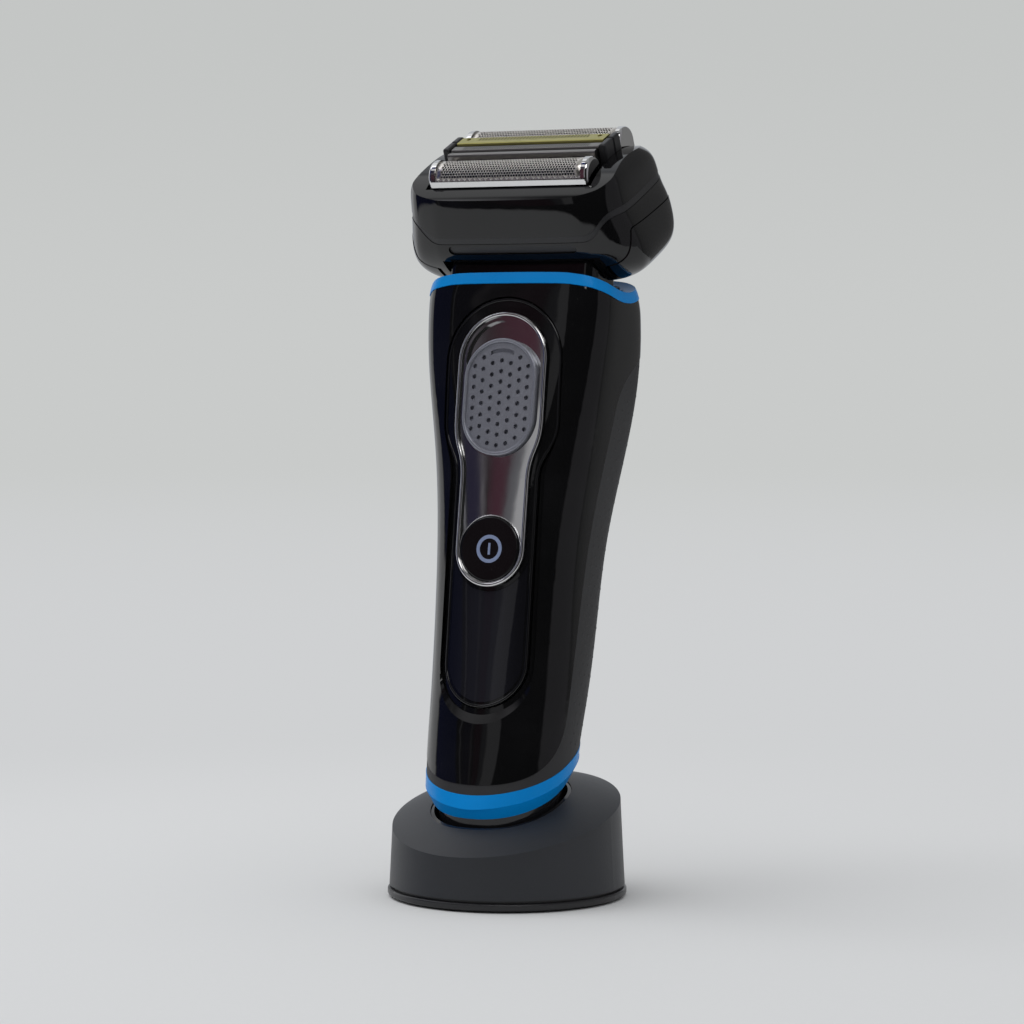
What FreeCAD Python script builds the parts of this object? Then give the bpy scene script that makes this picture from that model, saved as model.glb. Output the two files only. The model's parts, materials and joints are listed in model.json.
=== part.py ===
"""Foil shaver standing in its round charging stand, as separate pieces in one frame.

Millimetres, +Z up, origin at the centre of the stand's underside. The shaver's front faces -Y.
The stand is modelled in that frame. The handle is modelled upright along its own axis and then leant
back; the head is modelled upright on its own axes and then tipped forward.
"""

import FreeCAD, Part
import math
import os

V = FreeCAD.Vector
X_AXIS = V(1, 0, 0)
FAR = 120.0                      # larger than any piece: reach of cutting blocks

# ---- stand -------------------------------------------------------------------------------------
PAD_R = 26.4
PAD_T = 0.5
LIP_R = 27.9                     # round base plate that shows as a lip
LIP_TOP = 2.1
GROOVE_TOP = 2.8                 # shadow gap between the lip and the housing
GROOVE_R = 26.6
STAND_R = 27.5                   # housing at the groove
STAND_DRAFT = 1.5                # radius lost over the housing's height
STAND_TALL = 30.0                # height of the cone before the slanted cut
STAND_RIM_Z = 19.8               # plane of the slanted rim, on the stand's axis
STAND_RIM_R = 26.7
STAND_SLOPE = 14.2               # degrees, low at the front
DOME_R = 65.0                    # the top swells above the rim's plane
STAND_WALL = 2.0
WELL_HALF_X = 15.1               # the well's outline, in the handle's axes
WELL_FRONT = -15.8
WELL_BACK = 13.4
WELL_POWER = 2.2
CUP_WALL = 0.8
CUP_FLOOR = 8.9                  # height of the cup's floor along the handle's axis
CUP_FLOOR_T = 1.4
POST_HALF_X = 4.4
POST_HALF_Y = 2.3
POST_TOP = 12.4
PIN_R = 0.6
PIN_PITCH = 5.0
PIN_TOP = 15.4
FOOT_CENTRE = -1.8               # middle of the foot, front to back
BALLAST_R = 19.0
BALLAST_T = 2.6
BOARD_T = 1.2
INLET_HALF_X = 4.7
INLET_HALF_Z = 2.9
INLET_DEPTH = 8.0
INLET_Z = 10.6
INLET_WALL = 1.1
INLET_PIN_X = 3.0
SCREW_R = 1.3
SCREW_CIRCLE = 21.5

# ---- handle: heights run along its own axis ------------------------------------------------------
HANDLE_LEAN = 9.0                # degrees back from upright
HANDLE_FOOT_Y = -5.4             # foot of the handle's axis
HANDLE_FOOT_Z = 0.6
HANDLE_SECTIONS = (              # height, half width, front, back, squareness
    (4.0, 17.0, -16.4, 13.0, 2.2),
    (25.0, 17.7, -17.0, 13.8, 2.2),
    (46.0, 18.2, -16.0, 14.2, 2.4),
    (66.0, 18.4, -16.0, 16.0, 2.7),
    (84.0, 19.0, -16.0, 16.4, 3.0),
    (103.0, 20.95, -16.0, 18.0, 3.4),
    (122.0, 23.2, -16.0, 16.3, 4.4),
    (136.0, 24.1, -16.0, 13.0, 4.4),
    (140.5, 23.8, -15.9, 11.7, 4.4),
    (144.5, 22.4, -15.2, 10.0, 4.4),
    (152.0, 17.7, -12.4, 5.6, 4.4),
)
HANDLE_WALL = 1.7
FRONT = -16.0                    # the handle's flat front
FOOT_SLOPE = 32.0                # degrees: foot ring and seams rise to the back
SEAM_FRONT = 25.4                # lower edge of the glossy shell at the front
RING_TOP = 23.2
RING_CREASE = 20.2
RING_LOW = 16.6
RING_TAPER = 1.8                 # the lower facet draws in by this much
CAP_LOW = 9.0
CAP_HALF_X = 12.0
CAP_FRONT = -12.6
CAP_BACK = 9.2
SIDE_SEAM_LOW = (-6.3, 31.5)     # seam between glossy shell and rubber back: (y, height) of its bends
SIDE_SEAM_HIGH = (0.0, 119.5)
SIDE_SEAM_BEND = 22.0
SIDE_SEAM_BEND_HIGH = 14.0
DISH_Y = -4.9                    # axis of the hollow that cradles the head
DISH_Z = 162.4
DISH_R = 21.3
COLLAR_T = 2.5

# front panel, bezel, slider and button
LOBE_Z = 123.0                   # centre of the upper lobe
SHOULDER_Z = 109.5
WAIST_Z = 95.0
BUTTON_Z = 79.2
BEZEL_TOP_R = 11.4
BEZEL_LOW_R = 8.8
BEZEL_RIM = 0.9
BEZEL_PROUD = 0.55
PANEL_TOP_R = 14.8
PANEL_LOW_R = 10.6
PANEL_LOW_Z = 53.2
PANEL_SUNK = 0.4
PANEL_GAP = 0.3
LANE_R = 12.2                    # sunk band round the lower end of the panel
LANE_DEEP = 0.9
BEVEL_WIDE = 2.2                 # bevel below the lane, which fades out to the sides
BEVEL_THIN = 0.25
BEVEL_DEEP = 0.78
BEVEL_REACH = 75                 # degrees to each side of straight down
BUTTON_R = 7.6
BUTTON_HOLE_R = 7.85
ICON_R = 3.25
ICON_LINE = 0.83
ICON_BAR_HALF_X = 0.28
ICON_BAR_HALF_Z = 1.35
ICON_T = 0.08
SLIDER_HALF = 9.35
SLIDER_LOW = 100.8
SLIDER_HIGH = 128.2
SLIDER_TRAVEL = 4.0
SLIDER_GAP = 0.35
SLIDER_FLOOR = -0.9              # floor of its track, below the handle's surface
DOT_R = 0.54
DOT_COLUMNS = (                  # place across, lowest and highest dot from the middle, dots
    (0.0, -11.3, 8.5, 9),
    (2.37, -10.8, 7.9, 8),
    (4.7, -9.5, 9.2, 8),
    (6.9, -7.5, 7.2, 7),
)
MARK_HALF = 3.0                  # arc pressed in above the dots
MARK_R = 8.0
MARK_TOP = 11.3
MARK_WIDE = 0.9
WINDOW_HALF = 9.5
WINDOW_LOW = 43.9
WINDOW_HIGH = 95.0               # runs up behind the bezel's lower end, which cuts it
WINDOW_RIM = 1.0

# inside the handle
BOARD_FRONT = -8.8
BATTERY_R = 7.1
BATTERY_Y = 3.2
BATTERY_LOW = 46.0
BATTERY_LONG = 50.0
NECK_HALF_X = 19.2
NECK_FRONT = -11.0
NECK_BACK = 2.0
SEAL_T = 1.0

# long-hair trimmer on the back
TRIM_HALF_X = 11.0
TRIM_LOW = 104.0
TRIM_HIGH = 130.0
TRIM_TRAVEL = 8.0
TRIM_T = 2.4
TRIM_GAP = 0.3

# ---- head: heights run along the head's own axis ---------------------------------------------------
HEAD_TILT = 24.0                 # degrees forward from upright
HEAD_Y = 20.5
HEAD_Z = 153.8
HEAD_SECTIONS = (                # height, half width, front, back
    (-8.0, 22.6, -8.4, 5.0),
    (-5.0, 28.2, -12.6, 9.5),
    (-2.0, 30.2, -15.1, 12.5),
    (2.0, 30.2, -17.4, 14.9),
    (7.0, 29.2, -18.5, 16.2),
    (12.0, 28.1, -18.8, 16.0),
    (16.0, 27.6, -18.4, 15.3),
    (18.6, 26.8, -17.5, 12.6),
    (20.6, 25.0, -15.4, 9.8),
)
HEAD_POWER = 4.6
CROWN_R = 39.0                   # the shoulders' tops are rounded from front to back
CROWN_Y = -1.6
CROWN_Z = -18.6
HEAD_WALL = 1.6
PIVOT_Y = -4.66                  # pivot in the head's own axes
PIVOT_Z = 4.0
DRUM_R = 8.0
PIVOT_PIN_R = 2.0
HEAD_BACK_SWING = 30.0           # degrees the head rocks back and forward from its stored place
HEAD_FRONT_SWING = 6.0
SEAM_SIDE = 12.4                 # seam of the cassette at the sides
SEAM_MID = 7.4                   # and its lower tongue at the front and back
TONGUE_HALF = 18.5
SHOULDER_HALF = 27.2
BAND_T = 1.6
INSERT_HALF = 16.6
INSERT_HIGH = 5.3
INSERT_LOW = 3.0
RELEASE_X = 22.5                 # inner edge of the release buttons
RELEASE_TRAVEL = 0.8
POCKET_HALF_X = 21.4
POCKET_FRONT = -14.4
POCKET_BACK = 14.2
LEDGE_LOW = 12.6
LEDGE_TOP = 15.2
LEDGE_HALF_X = 20.9
WALL_TOP = 18.4                  # cassette walls in front of and behind the foils
FOIL_OFFSET = 9.7
FOIL_FRAME_R = 4.2
FOIL_R = 3.9
FOIL_T = 0.2
FOIL_AXIS = 19.3
FOIL_BASE = 16.1
FOIL_HALF_X = 19.6
FOIL_FRAME_HALF_X = 20.7
FOIL_FRAME_END = 1.0             # thickness of the frame's closed ends
FOIL_WINDOW = 18.9
FOIL_WINDOW_LOW = 19.9
GUARD_TOP = 23.2
MIDDLE_TOP = 23.5
LIFT_TOP = 23.9
MIDDLE_SLOTS = (59, 0.56, 0.11, 1.0)    # slots of the two trimmer combs: count, pitch, half width, half length
LIFT_SLOTS = (35, 0.834, 0.17, 0.8)
TRIM_BAR_HALF_X = 19.2
TRIM_BLADE_HALF_X = 16.4
END_BLOCK = (19.55, 21.3, -3.2, 5.4)    # across, then front and back
CUTTER_R = 3.45
CUTTER_HALF_X = 17.6
CUTTER_BASE = 16.2
TRIM_BAR_BASE = 15.9
DRIVE_PIN_R = 1.0


def superellipse(half_x, front, back, z, power, count=28):
    """Closed smooth wire at height z, which may be a function of y for a slanted one."""
    half_y = (back - front) / 2
    middle = (back + front) / 2
    points = []
    for i in range(count):
        turn = 2 * math.pi * i / count
        c, s = math.cos(turn), math.sin(turn)
        x = half_x * math.copysign(abs(c) ** (2 / power), c)
        y = half_y * math.copysign(abs(s) ** (2 / power), s)
        height = z(middle + y) if callable(z) else z
        points.append(V(x, middle + y, height))
    curve = Part.BSplineCurve()
    curve.interpolate(Points=points, PeriodicFlag=True, Parameters=[float(i) for i in range(count + 1)])
    return Part.Wire(curve.toShape())


def handle_body(offset=0.0):
    """The handle's outline as a smooth solid through its sections, grown by offset."""
    wires = [
        superellipse(half + offset, front - offset, back + offset, z, power)
        for z, half, front, back, power in HANDLE_SECTIONS
    ]
    return Part.makeLoft(wires, True, False)


def head_body(offset=0.0):
    """The head's outline as a smooth solid with a crowned top, grown by offset."""
    wires = [
        superellipse(half + offset, front - offset, back + offset, z, HEAD_POWER)
        for z, half, front, back in HEAD_SECTIONS
    ]
    crown = rod(CROWN_R + offset, V(-FAR, CROWN_Y, CROWN_Z), V(FAR, CROWN_Y, CROWN_Z))
    return Part.makeLoft(wires, True, False).common(crown)


def block(x0, x1, y0, y1, z0, z1):
    return Part.makeBox(x1 - x0, y1 - y0, z1 - z0, V(x0, y0, z0))


def rod(radius, start, end):
    way = end - start
    return Part.makeCylinder(radius, way.Length, start, way)


def rounded(corners, radii):
    """Closed wire through corners in one plane, each rounded to its own radius or to the one given."""
    edges = []
    ends = []
    count = len(corners)
    for i, corner in enumerate(corners):
        before = (corners[i - 1] - corner).normalize()
        after = (corners[(i + 1) % count] - corner).normalize()
        half = before.getAngle(after) / 2
        radius = radii[i] if isinstance(radii, tuple) else radii
        reach = radius / math.tan(half)
        start = corner + before * reach
        end = corner + after * reach
        middle = corner + (before + after).normalize() * (radius / math.sin(half) - radius)
        edges.append(Part.Arc(start, middle, end).toShape())
        ends.append((start, end))
    for i in range(count):
        edges.append(Part.makeLine(ends[i - 1][1], ends[i][0]))
    return Part.Wire(Part.__sortEdges__(edges))


def side_prism(points, radii, x0=-FAR, x1=FAR):
    """Outline of (y, z) corners carried along X."""
    wire = rounded([V(x0, y, z) for y, z in points], radii)
    return Part.Face(wire).extrude(V(x1 - x0, 0, 0))


def front_prism(wire, y0, y1):
    """Outline drawn at y = 0 carried along Y from y0 to y1."""
    face = Part.Face(wire)
    face.translate(V(0, y0, 0))
    return face.extrude(V(0, y1 - y0, 0))


def keyhole(top_r, low_r, low_z, shrink=0.0):
    """Outline with a round upper lobe that narrows to a slimmer round lower end."""
    top = top_r - shrink
    low = low_r - shrink
    mid = (SHOULDER_Z + WAIST_Z) / 2

    def flank(side):
        curve = Part.BezierCurve()
        curve.setPoles([V(side * top, 0, SHOULDER_Z), V(side * top, 0, mid),
                        V(side * low, 0, mid), V(side * low, 0, WAIST_Z)])
        return curve.toShape()

    edges = [
        Part.Arc(V(top, 0, LOBE_Z), V(0, 0, LOBE_Z + top), V(-top, 0, LOBE_Z)).toShape(),
        Part.makeLine(V(-top, 0, LOBE_Z), V(-top, 0, SHOULDER_Z)),
        flank(-1),
        Part.makeLine(V(-low, 0, WAIST_Z), V(-low, 0, low_z)),
        Part.Arc(V(-low, 0, low_z), V(0, 0, low_z - low), V(low, 0, low_z)).toShape(),
        Part.makeLine(V(low, 0, low_z), V(low, 0, WAIST_Z)),
        flank(1),
        Part.makeLine(V(top, 0, SHOULDER_Z), V(top, 0, LOBE_Z)),
    ]
    return Part.Wire(Part.__sortEdges__(edges))


def stadium(half, low, high):
    """Outline with straight sides and round ends, from low to high along Z."""
    z0, z1 = low + half, high - half
    edges = [
        Part.Arc(V(half, 0, z1), V(0, 0, high), V(-half, 0, z1)).toShape(),
        Part.makeLine(V(-half, 0, z1), V(-half, 0, z0)),
        Part.Arc(V(-half, 0, z0), V(0, 0, low), V(half, 0, z0)).toShape(),
        Part.makeLine(V(half, 0, z0), V(half, 0, z1)),
    ]
    return Part.Wire(Part.__sortEdges__(edges))


def group(shapes):
    return Part.makeCompound(shapes)


def mirrored(shape):
    return shape.mirror(V(0, 0, 0), X_AXIS)


HANDLE = FreeCAD.Placement(V(0, HANDLE_FOOT_Y, HANDLE_FOOT_Z), FreeCAD.Rotation(X_AXIS, -HANDLE_LEAN))
HEAD = FreeCAD.Placement(V(0, HEAD_Y, HEAD_Z), FreeCAD.Rotation(X_AXIS, HEAD_TILT))
STAND = FreeCAD.Placement()


def placed(shape, placement):
    moved = shape.copy()
    moved.Placement = placement.multiply(moved.Placement)
    return moved


# ---- stand -------------------------------------------------------------------------------------


def dome(drop):
    """Ball whose top is the stand's slanted, slightly swollen top, lowered by drop."""
    slope = math.radians(STAND_SLOPE)
    deep = math.sqrt(DOME_R ** 2 - STAND_RIM_R ** 2)
    centre = V(0, deep * math.sin(slope), STAND_RIM_Z - deep * math.cos(slope))
    return Part.makeSphere(DOME_R - drop, centre, X_AXIS)


def stand_cone(inset, low, high):
    """The housing's drafted round body, taken in by inset."""
    draft = STAND_DRAFT / STAND_TALL
    low_r = STAND_R - draft * (low - GROOVE_TOP) - inset
    high_r = STAND_R - draft * (high - GROOVE_TOP) - inset
    return Part.makeCone(low_r, high_r, high - low, V(0, 0, low))


def well(grow, low, high):
    """Upright prism of the well's outline, leant with the handle."""
    wire = superellipse(WELL_HALF_X + grow, WELL_FRONT - grow, WELL_BACK + grow, low, WELL_POWER)
    return placed(Part.Face(wire).extrude(V(0, 0, high - low)), HANDLE)


def inlet_shape(grow, y0, y1):
    """Lying oval of the power inlet, at the back of the stand."""
    wire = stadium(INLET_HALF_Z + grow, -INLET_HALF_X - grow, INLET_HALF_X + grow)
    solid = front_prism(wire, y0, y1)
    solid.rotate(V(0, 0, 0), V(0, 1, 0), 90)
    solid.translate(V(0, 0, INLET_Z))
    return solid


def screw_places():
    return [math.radians(angle) for angle in (45, 165, 285)]


INLET_MOUTH = math.sqrt(STAND_R ** 2 - INLET_HALF_X ** 2) - 0.9


def stand_housing():
    outer = stand_cone(0, GROOVE_TOP, STAND_TALL).common(dome(0))
    hollow = stand_cone(STAND_WALL, GROOVE_TOP - 1, STAND_TALL).common(dome(STAND_WALL))
    shell = outer.cut(hollow)
    shell = shell.cut(well(CUP_WALL + 0.05, 0, 60))
    return shell.cut(inlet_shape(INLET_WALL + 0.05, INLET_MOUTH - 6, FAR))


def stand_cup():
    outer = well(CUP_WALL, CUP_FLOOR - CUP_FLOOR_T, 60).common(dome(0.25))
    cup = outer.cut(well(0, CUP_FLOOR, 60))
    front, back = FOOT_CENTRE - POST_HALF_Y, FOOT_CENTRE + POST_HALF_Y
    slot = block(-POST_HALF_X, POST_HALF_X, front, back, 0, CUP_FLOOR)
    return cup.cut(placed(slot, HANDLE))


def charge_post():
    post = block(-POST_HALF_X, POST_HALF_X, FOOT_CENTRE - POST_HALF_Y, FOOT_CENTRE + POST_HALF_Y,
                 CUP_FLOOR - CUP_FLOOR_T, POST_TOP)
    rounding = [e for e in post.Edges if abs(e.tangentAt(0).z) > 0.9]
    post = post.makeFillet(1.4, rounding)
    for side in (-1, 1):
        x = side * PIN_PITCH / 2
        post = post.cut(rod(PIN_R, V(x, FOOT_CENTRE, 0), V(x, FOOT_CENTRE, POST_TOP + 1)))
    return placed(post, HANDLE)


def charge_pin(side):
    x = side * PIN_PITCH / 2
    pin = rod(PIN_R, V(x, FOOT_CENTRE, CUP_FLOOR - CUP_FLOOR_T - 1.2), V(x, FOOT_CENTRE, PIN_TOP))
    tip = [e for e in pin.Edges if abs(e.BoundBox.ZMin - PIN_TOP) < 0.01 and e.BoundBox.XLength > 0.5]
    return placed(pin.makeFillet(0.3, tip), HANDLE)


def stand_base():
    lip = Part.makeCylinder(LIP_R, LIP_TOP - PAD_T, V(0, 0, PAD_T))
    rim = [e for e in lip.Edges if e.BoundBox.XLength > LIP_R]
    lip = lip.makeFillet(0.45, rim)
    step = Part.makeCylinder(GROOVE_R, GROOVE_TOP - LIP_TOP + 0.2, V(0, 0, LIP_TOP - 0.2))
    plug = Part.makeCylinder(STAND_R - STAND_WALL - 0.3, 1.2, V(0, 0, GROOVE_TOP - 0.2))
    base = lip.fuse([step, plug]).removeSplitter()
    for turn in screw_places():
        spot = V(SCREW_CIRCLE * math.cos(turn), SCREW_CIRCLE * math.sin(turn), 0)
        base = base.cut(rod(SCREW_R + 0.05, spot, spot + V(0, 0, 6)))
    return base


def non_slip_pad():
    return Part.makeCylinder(PAD_R, PAD_T)


def stand_screws():
    screws = []
    for turn in screw_places():
        spot = V(SCREW_CIRCLE * math.cos(turn), SCREW_CIRCLE * math.sin(turn), PAD_T)
        screws.append(rod(SCREW_R, spot, spot + V(0, 0, 3.2)))
    return group(screws)


def ballast():
    low = GROOVE_TOP + 1.1
    plate = Part.makeCylinder(BALLAST_R, BALLAST_T, V(0, 0, low))
    plate = plate.cut(well(CUP_WALL + 0.3, 0, 60))
    return plate.cut(block(-10, 10, 12, FAR, 0, 20))


def stand_board():
    low = GROOVE_TOP + 1.2
    board = block(-8.5, 8.5, 12.6, 17.6, low, low + BOARD_T)
    relay = block(-5.5, 3.5, 13.2, 16.4, low + BOARD_T, low + BOARD_T + 2.2)
    return board.fuse(relay).cut(well(CUP_WALL + 0.3, 0, 60))


def power_inlet():
    barrel = inlet_shape(INLET_WALL, INLET_MOUTH - INLET_DEPTH - 1.5, FAR)
    barrel = barrel.common(stand_cone(0.3, 0, STAND_TALL))
    barrel = barrel.cut(inlet_shape(0, INLET_MOUTH - INLET_DEPTH, FAR))
    for x in (-INLET_PIN_X, INLET_PIN_X):
        barrel = barrel.cut(rod(0.75, V(x, 0, INLET_Z), V(x, FAR, INLET_Z)))
    return barrel


def inlet_pins():
    low = INLET_MOUTH - INLET_DEPTH - 2.5
    high = INLET_MOUTH - 1.8
    return group([rod(0.72, V(x, low, INLET_Z), V(x, high, INLET_Z)) for x in (-INLET_PIN_X, INLET_PIN_X)])


# ---- handle ------------------------------------------------------------------------------------


def slant(level, above):
    """Everything above (or below) the foot's slanted plane that meets the front at this level."""
    z0, z1 = (0, FAR) if above else (-FAR, 0)
    cutter = block(-FAR, FAR, -FAR, FAR, z0, z1)
    cutter.rotate(V(0, 0, 0), X_AXIS, FOOT_SLOPE)
    cutter.translate(V(0, FRONT, level))
    return cutter


def slant_height(level, y):
    return level + math.tan(math.radians(FOOT_SLOPE)) * (y - FRONT)


def dish(radius):
    return rod(radius, V(-FAR, DISH_Y, DISH_Z), V(FAR, DISH_Y, DISH_Z))


def front_region():
    """The part of the handle's skin that is glossy: front and sides, and all round at the top."""
    before = -40.0
    behind = 30.0
    low_y, low_z = SIDE_SEAM_LOW
    high_y, high_z = SIDE_SEAM_HIGH
    corners = (
        (before, slant_height(SEAM_FRONT, before)),
        (low_y, low_z),
        (high_y, high_z),
        (behind, high_z + 0.9 * (behind - high_y)),
        (behind, high_z + FAR),
        (before, high_z + FAR),
    )
    small = 1.0
    return side_prism(corners, (small, SIDE_SEAM_BEND, SIDE_SEAM_BEND_HIGH, small, small, small))


def trimmer_channel(grow):
    """Straight channel down the back for the long-hair trimmer and its travel."""
    return block(-TRIM_HALF_X - grow, TRIM_HALF_X + grow, 0, FAR, TRIM_LOW - grow,
                 TRIM_HIGH + TRIM_TRAVEL + grow)


def trimmer_bay():
    """Walls and floor of the trimmer's channel."""
    wall = 1.4
    floor = -TRIM_T - TRIM_GAP
    solid = skin(-0.2, floor - wall).common(trimmer_channel(TRIM_GAP + wall))
    return solid.cut(trimmer_channel(TRIM_GAP).cut(handle_body(floor)))


def skin(outside, inside):
    """Layer of the handle between two depths below its surface (negative is inward)."""
    return handle_body(outside).cut(handle_body(inside))


def bevel_room():
    """What is taken off for the bevel below the lane; it follows the curve of the surface."""
    solid = handle_body()
    inner = []
    outer = []
    beyond = 0.3
    for turn in range(-BEVEL_REACH, BEVEL_REACH + 1, 15):
        fade = math.cos(math.radians(90.0 * turn / BEVEL_REACH))
        wide = BEVEL_THIN + (BEVEL_WIDE - BEVEL_THIN) * fade
        a = math.radians(turn)
        for line, away in ((inner, -beyond), (outer, wide + beyond)):
            x = (LANE_R + away) * math.sin(a)
            z = PANEL_LOW_Z - (LANE_R + away) * math.cos(a)
            surface = Part.makeLine(V(x, -FAR, z), V(x, 0, z)).common(solid).BoundBox.YMin
            deep = BEVEL_DEEP * (wide - away) / (wide + beyond)
            line.append(V(x, surface + deep, z))
    edges = []
    for line in (inner, outer):
        curve = Part.BSplineCurve()
        curve.interpolate(Points=line)
        edges.append(curve.toShape())
    return Part.makeRuledSurface(edges[0], edges[1]).extrude(V(0, -6, 0))


def front_shell():
    shell = skin(0, -HANDLE_WALL).common(front_region())
    lane = front_prism(keyhole(PANEL_TOP_R, PANEL_LOW_R, PANEL_LOW_Z, -PANEL_GAP), -FAR, 0)
    shell = shell.cut(lane)
    band = front_prism(keyhole(PANEL_TOP_R, LANE_R, PANEL_LOW_Z), -FAR, 0)
    shell = shell.cut(band.cut(handle_body(-LANE_DEEP)))
    shell = shell.cut(bevel_room())
    shell = shell.cut(trimmer_channel(TRIM_GAP)).fuse(trimmer_bay())
    return shell.cut(dish(DISH_R + COLLAR_T + 0.05))


def rear_grip():
    shell = skin(-0.12, -HANDLE_WALL).cut(front_region())
    shell = shell.cut(slant(RING_TOP, False))
    return shell.cut(trimmer_channel(TRIM_GAP + 1.45))


def top_collar():
    collar = handle_body(0.15).common(dish(DISH_R + COLLAR_T)).cut(dish(DISH_R))
    collar = collar.cut(block(-FAR, FAR, -FAR, FAR, 150.5, 150.5 + FAR))
    gap = SEAL_T + 0.3
    stem = block(-NECK_HALF_X - gap, NECK_HALF_X + gap, NECK_FRONT - gap, NECK_BACK + gap, 130, 150)
    return collar.cut(stem)


def foot_outline(level, shrink):
    """Outline of the foot on the slanted plane at this level, drawn in by shrink."""
    _, half_x, front, back, power = HANDLE_SECTIONS[1]

    def lift(y):
        return slant_height(level, y)

    return superellipse(half_x - shrink, front + shrink, back - shrink, lift, power)


def bottom_ring():
    upper = handle_body().common(slant(RING_TOP - 0.02, False)).common(slant(RING_CREASE, True))
    lower = Part.makeLoft([foot_outline(RING_CREASE, 0), foot_outline(RING_LOW, RING_TAPER)], True, True)
    ring = upper.fuse(lower)
    return ring.cut(handle_body(-RING_TAPER - 1.6))


def bottom_cap():
    brim = foot_outline(RING_LOW - 0.05, RING_TAPER + 0.9)
    toe = superellipse(CAP_HALF_X, CAP_FRONT, CAP_BACK, CAP_LOW, HANDLE_SECTIONS[1][4])
    cap = Part.makeLoft([brim, toe], True, True)
    socket = block(-POST_HALF_X - 0.5, POST_HALF_X + 0.5, FOOT_CENTRE - POST_HALF_Y - 0.5,
                   FOOT_CENTRE + POST_HALF_Y + 0.5, 0, 40)
    return cap.cut(socket)


def charge_socket():
    y0, y1 = FOOT_CENTRE - POST_HALF_Y - 0.45, FOOT_CENTRE + POST_HALF_Y + 0.45
    shell = block(-POST_HALF_X - 0.45, POST_HALF_X + 0.45, y0, y1, POST_TOP + 0.4, POST_TOP + 7)
    for side in (-1, 1):
        x = side * PIN_PITCH / 2
        shell = shell.cut(rod(PIN_R + 0.35, V(x, FOOT_CENTRE, 0), V(x, FOOT_CENTRE, POST_TOP + 5.5)))
    return shell


def socket_sleeve(side):
    x = side * PIN_PITCH / 2
    low, high = POST_TOP + 0.6, POST_TOP + 5.4
    sleeve = rod(PIN_R + 0.3, V(x, FOOT_CENTRE, low), V(x, FOOT_CENTRE, high))
    return sleeve.cut(rod(PIN_R + 0.06, V(x, FOOT_CENTRE, low - 1), V(x, FOOT_CENTRE, high - 0.6)))


def front_panel():
    lane = front_prism(keyhole(PANEL_TOP_R, PANEL_LOW_R, PANEL_LOW_Z), -FAR, 0)
    panel = skin(-PANEL_SUNK, -HANDLE_WALL - 0.3).common(lane)
    panel = panel.cut(front_prism(keyhole(BEZEL_TOP_R, BEZEL_LOW_R, BUTTON_Z, -0.03), -FAR, 0))
    return panel.cut(window_prism(0.05))


def window_prism(grow):
    """Prism of the window's outline: round below, hollowed above by the bezel's lower end."""
    tall = front_prism(stadium(WINDOW_HALF + grow, WINDOW_LOW - grow, WINDOW_HIGH), -FAR, 0)
    return tall.cut(front_prism(keyhole(BEZEL_TOP_R, BEZEL_LOW_R, BUTTON_Z, grow - WINDOW_RIM), -FAR, 0))


def display_window():
    return skin(-PANEL_SUNK - 0.05, -HANDLE_WALL - 0.3).common(window_prism(0))


def bezel():
    plate = skin(BEZEL_PROUD, -HANDLE_WALL - 0.8)
    plate = plate.common(front_prism(keyhole(BEZEL_TOP_R, BEZEL_LOW_R, BUTTON_Z), -FAR, 0))
    face = front_prism(keyhole(BEZEL_TOP_R, BEZEL_LOW_R, BUTTON_Z, BEZEL_RIM), -FAR, 0)
    plate = plate.cut(face.cut(handle_body(0.05)))
    half = SLIDER_HALF + SLIDER_GAP
    low = SLIDER_LOW - SLIDER_GAP
    high = SLIDER_HIGH + SLIDER_TRAVEL + SLIDER_GAP
    track = front_prism(stadium(half, low, high), -FAR, 0)
    plate = plate.cut(track.cut(handle_body(SLIDER_FLOOR)))
    plate = plate.cut(rod(BUTTON_HOLE_R, V(0, -FAR, BUTTON_Z), V(0, 0, BUTTON_Z)))
    return plate.cut(block(-2.0, 2.0, -FAR, 0, 107.8, 124.2))


def slider_dots():
    """Places of the round holes, in columns that follow the slider's outline."""
    middle = (SLIDER_LOW + SLIDER_HIGH) / 2
    places = []
    for x, low, high, count in DOT_COLUMNS:
        for row in range(count):
            z = middle + low + (high - low) * row / (count - 1)
            places += [(side * x, z) for side in ((-1, 1) if x else (1,))]
    return places


def lock_slider():
    outline = front_prism(stadium(SLIDER_HALF, SLIDER_LOW, SLIDER_HIGH), -FAR, 0)
    plate = skin(0.95, SLIDER_FLOOR + 0.15).common(outline)
    dished = front_prism(stadium(SLIDER_HALF - 0.9, SLIDER_LOW + 0.9, SLIDER_HIGH - 0.9), -FAR, 0)
    plate = plate.cut(dished.cut(handle_body(0.7)))
    holes = [rod(DOT_R, V(x, FRONT - 3, z), V(x, FRONT + 0.4, z)) for x, z in slider_dots()]
    mark_z = (SLIDER_LOW + SLIDER_HIGH) / 2 + MARK_TOP - MARK_R
    arc = rod(MARK_R, V(0, FRONT - 3, mark_z), V(0, FRONT, mark_z))
    arc = arc.cut(rod(MARK_R - MARK_WIDE, V(0, FRONT - 4, mark_z), V(0, 0, mark_z)))
    arc = arc.common(block(-MARK_HALF, MARK_HALF, -FAR, 0, mark_z, mark_z + 20))
    return plate.cut(group(holes)).cut(arc)


def lock_bolt():
    shank = block(-1.7, 1.7, FRONT + 1.1, -11.2, 108.1, 119.9)
    foot = block(-5.0, 5.0, -11.2, -10.2, 106.0, 128.0)
    return shank.fuse(foot).removeSplitter()


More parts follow.
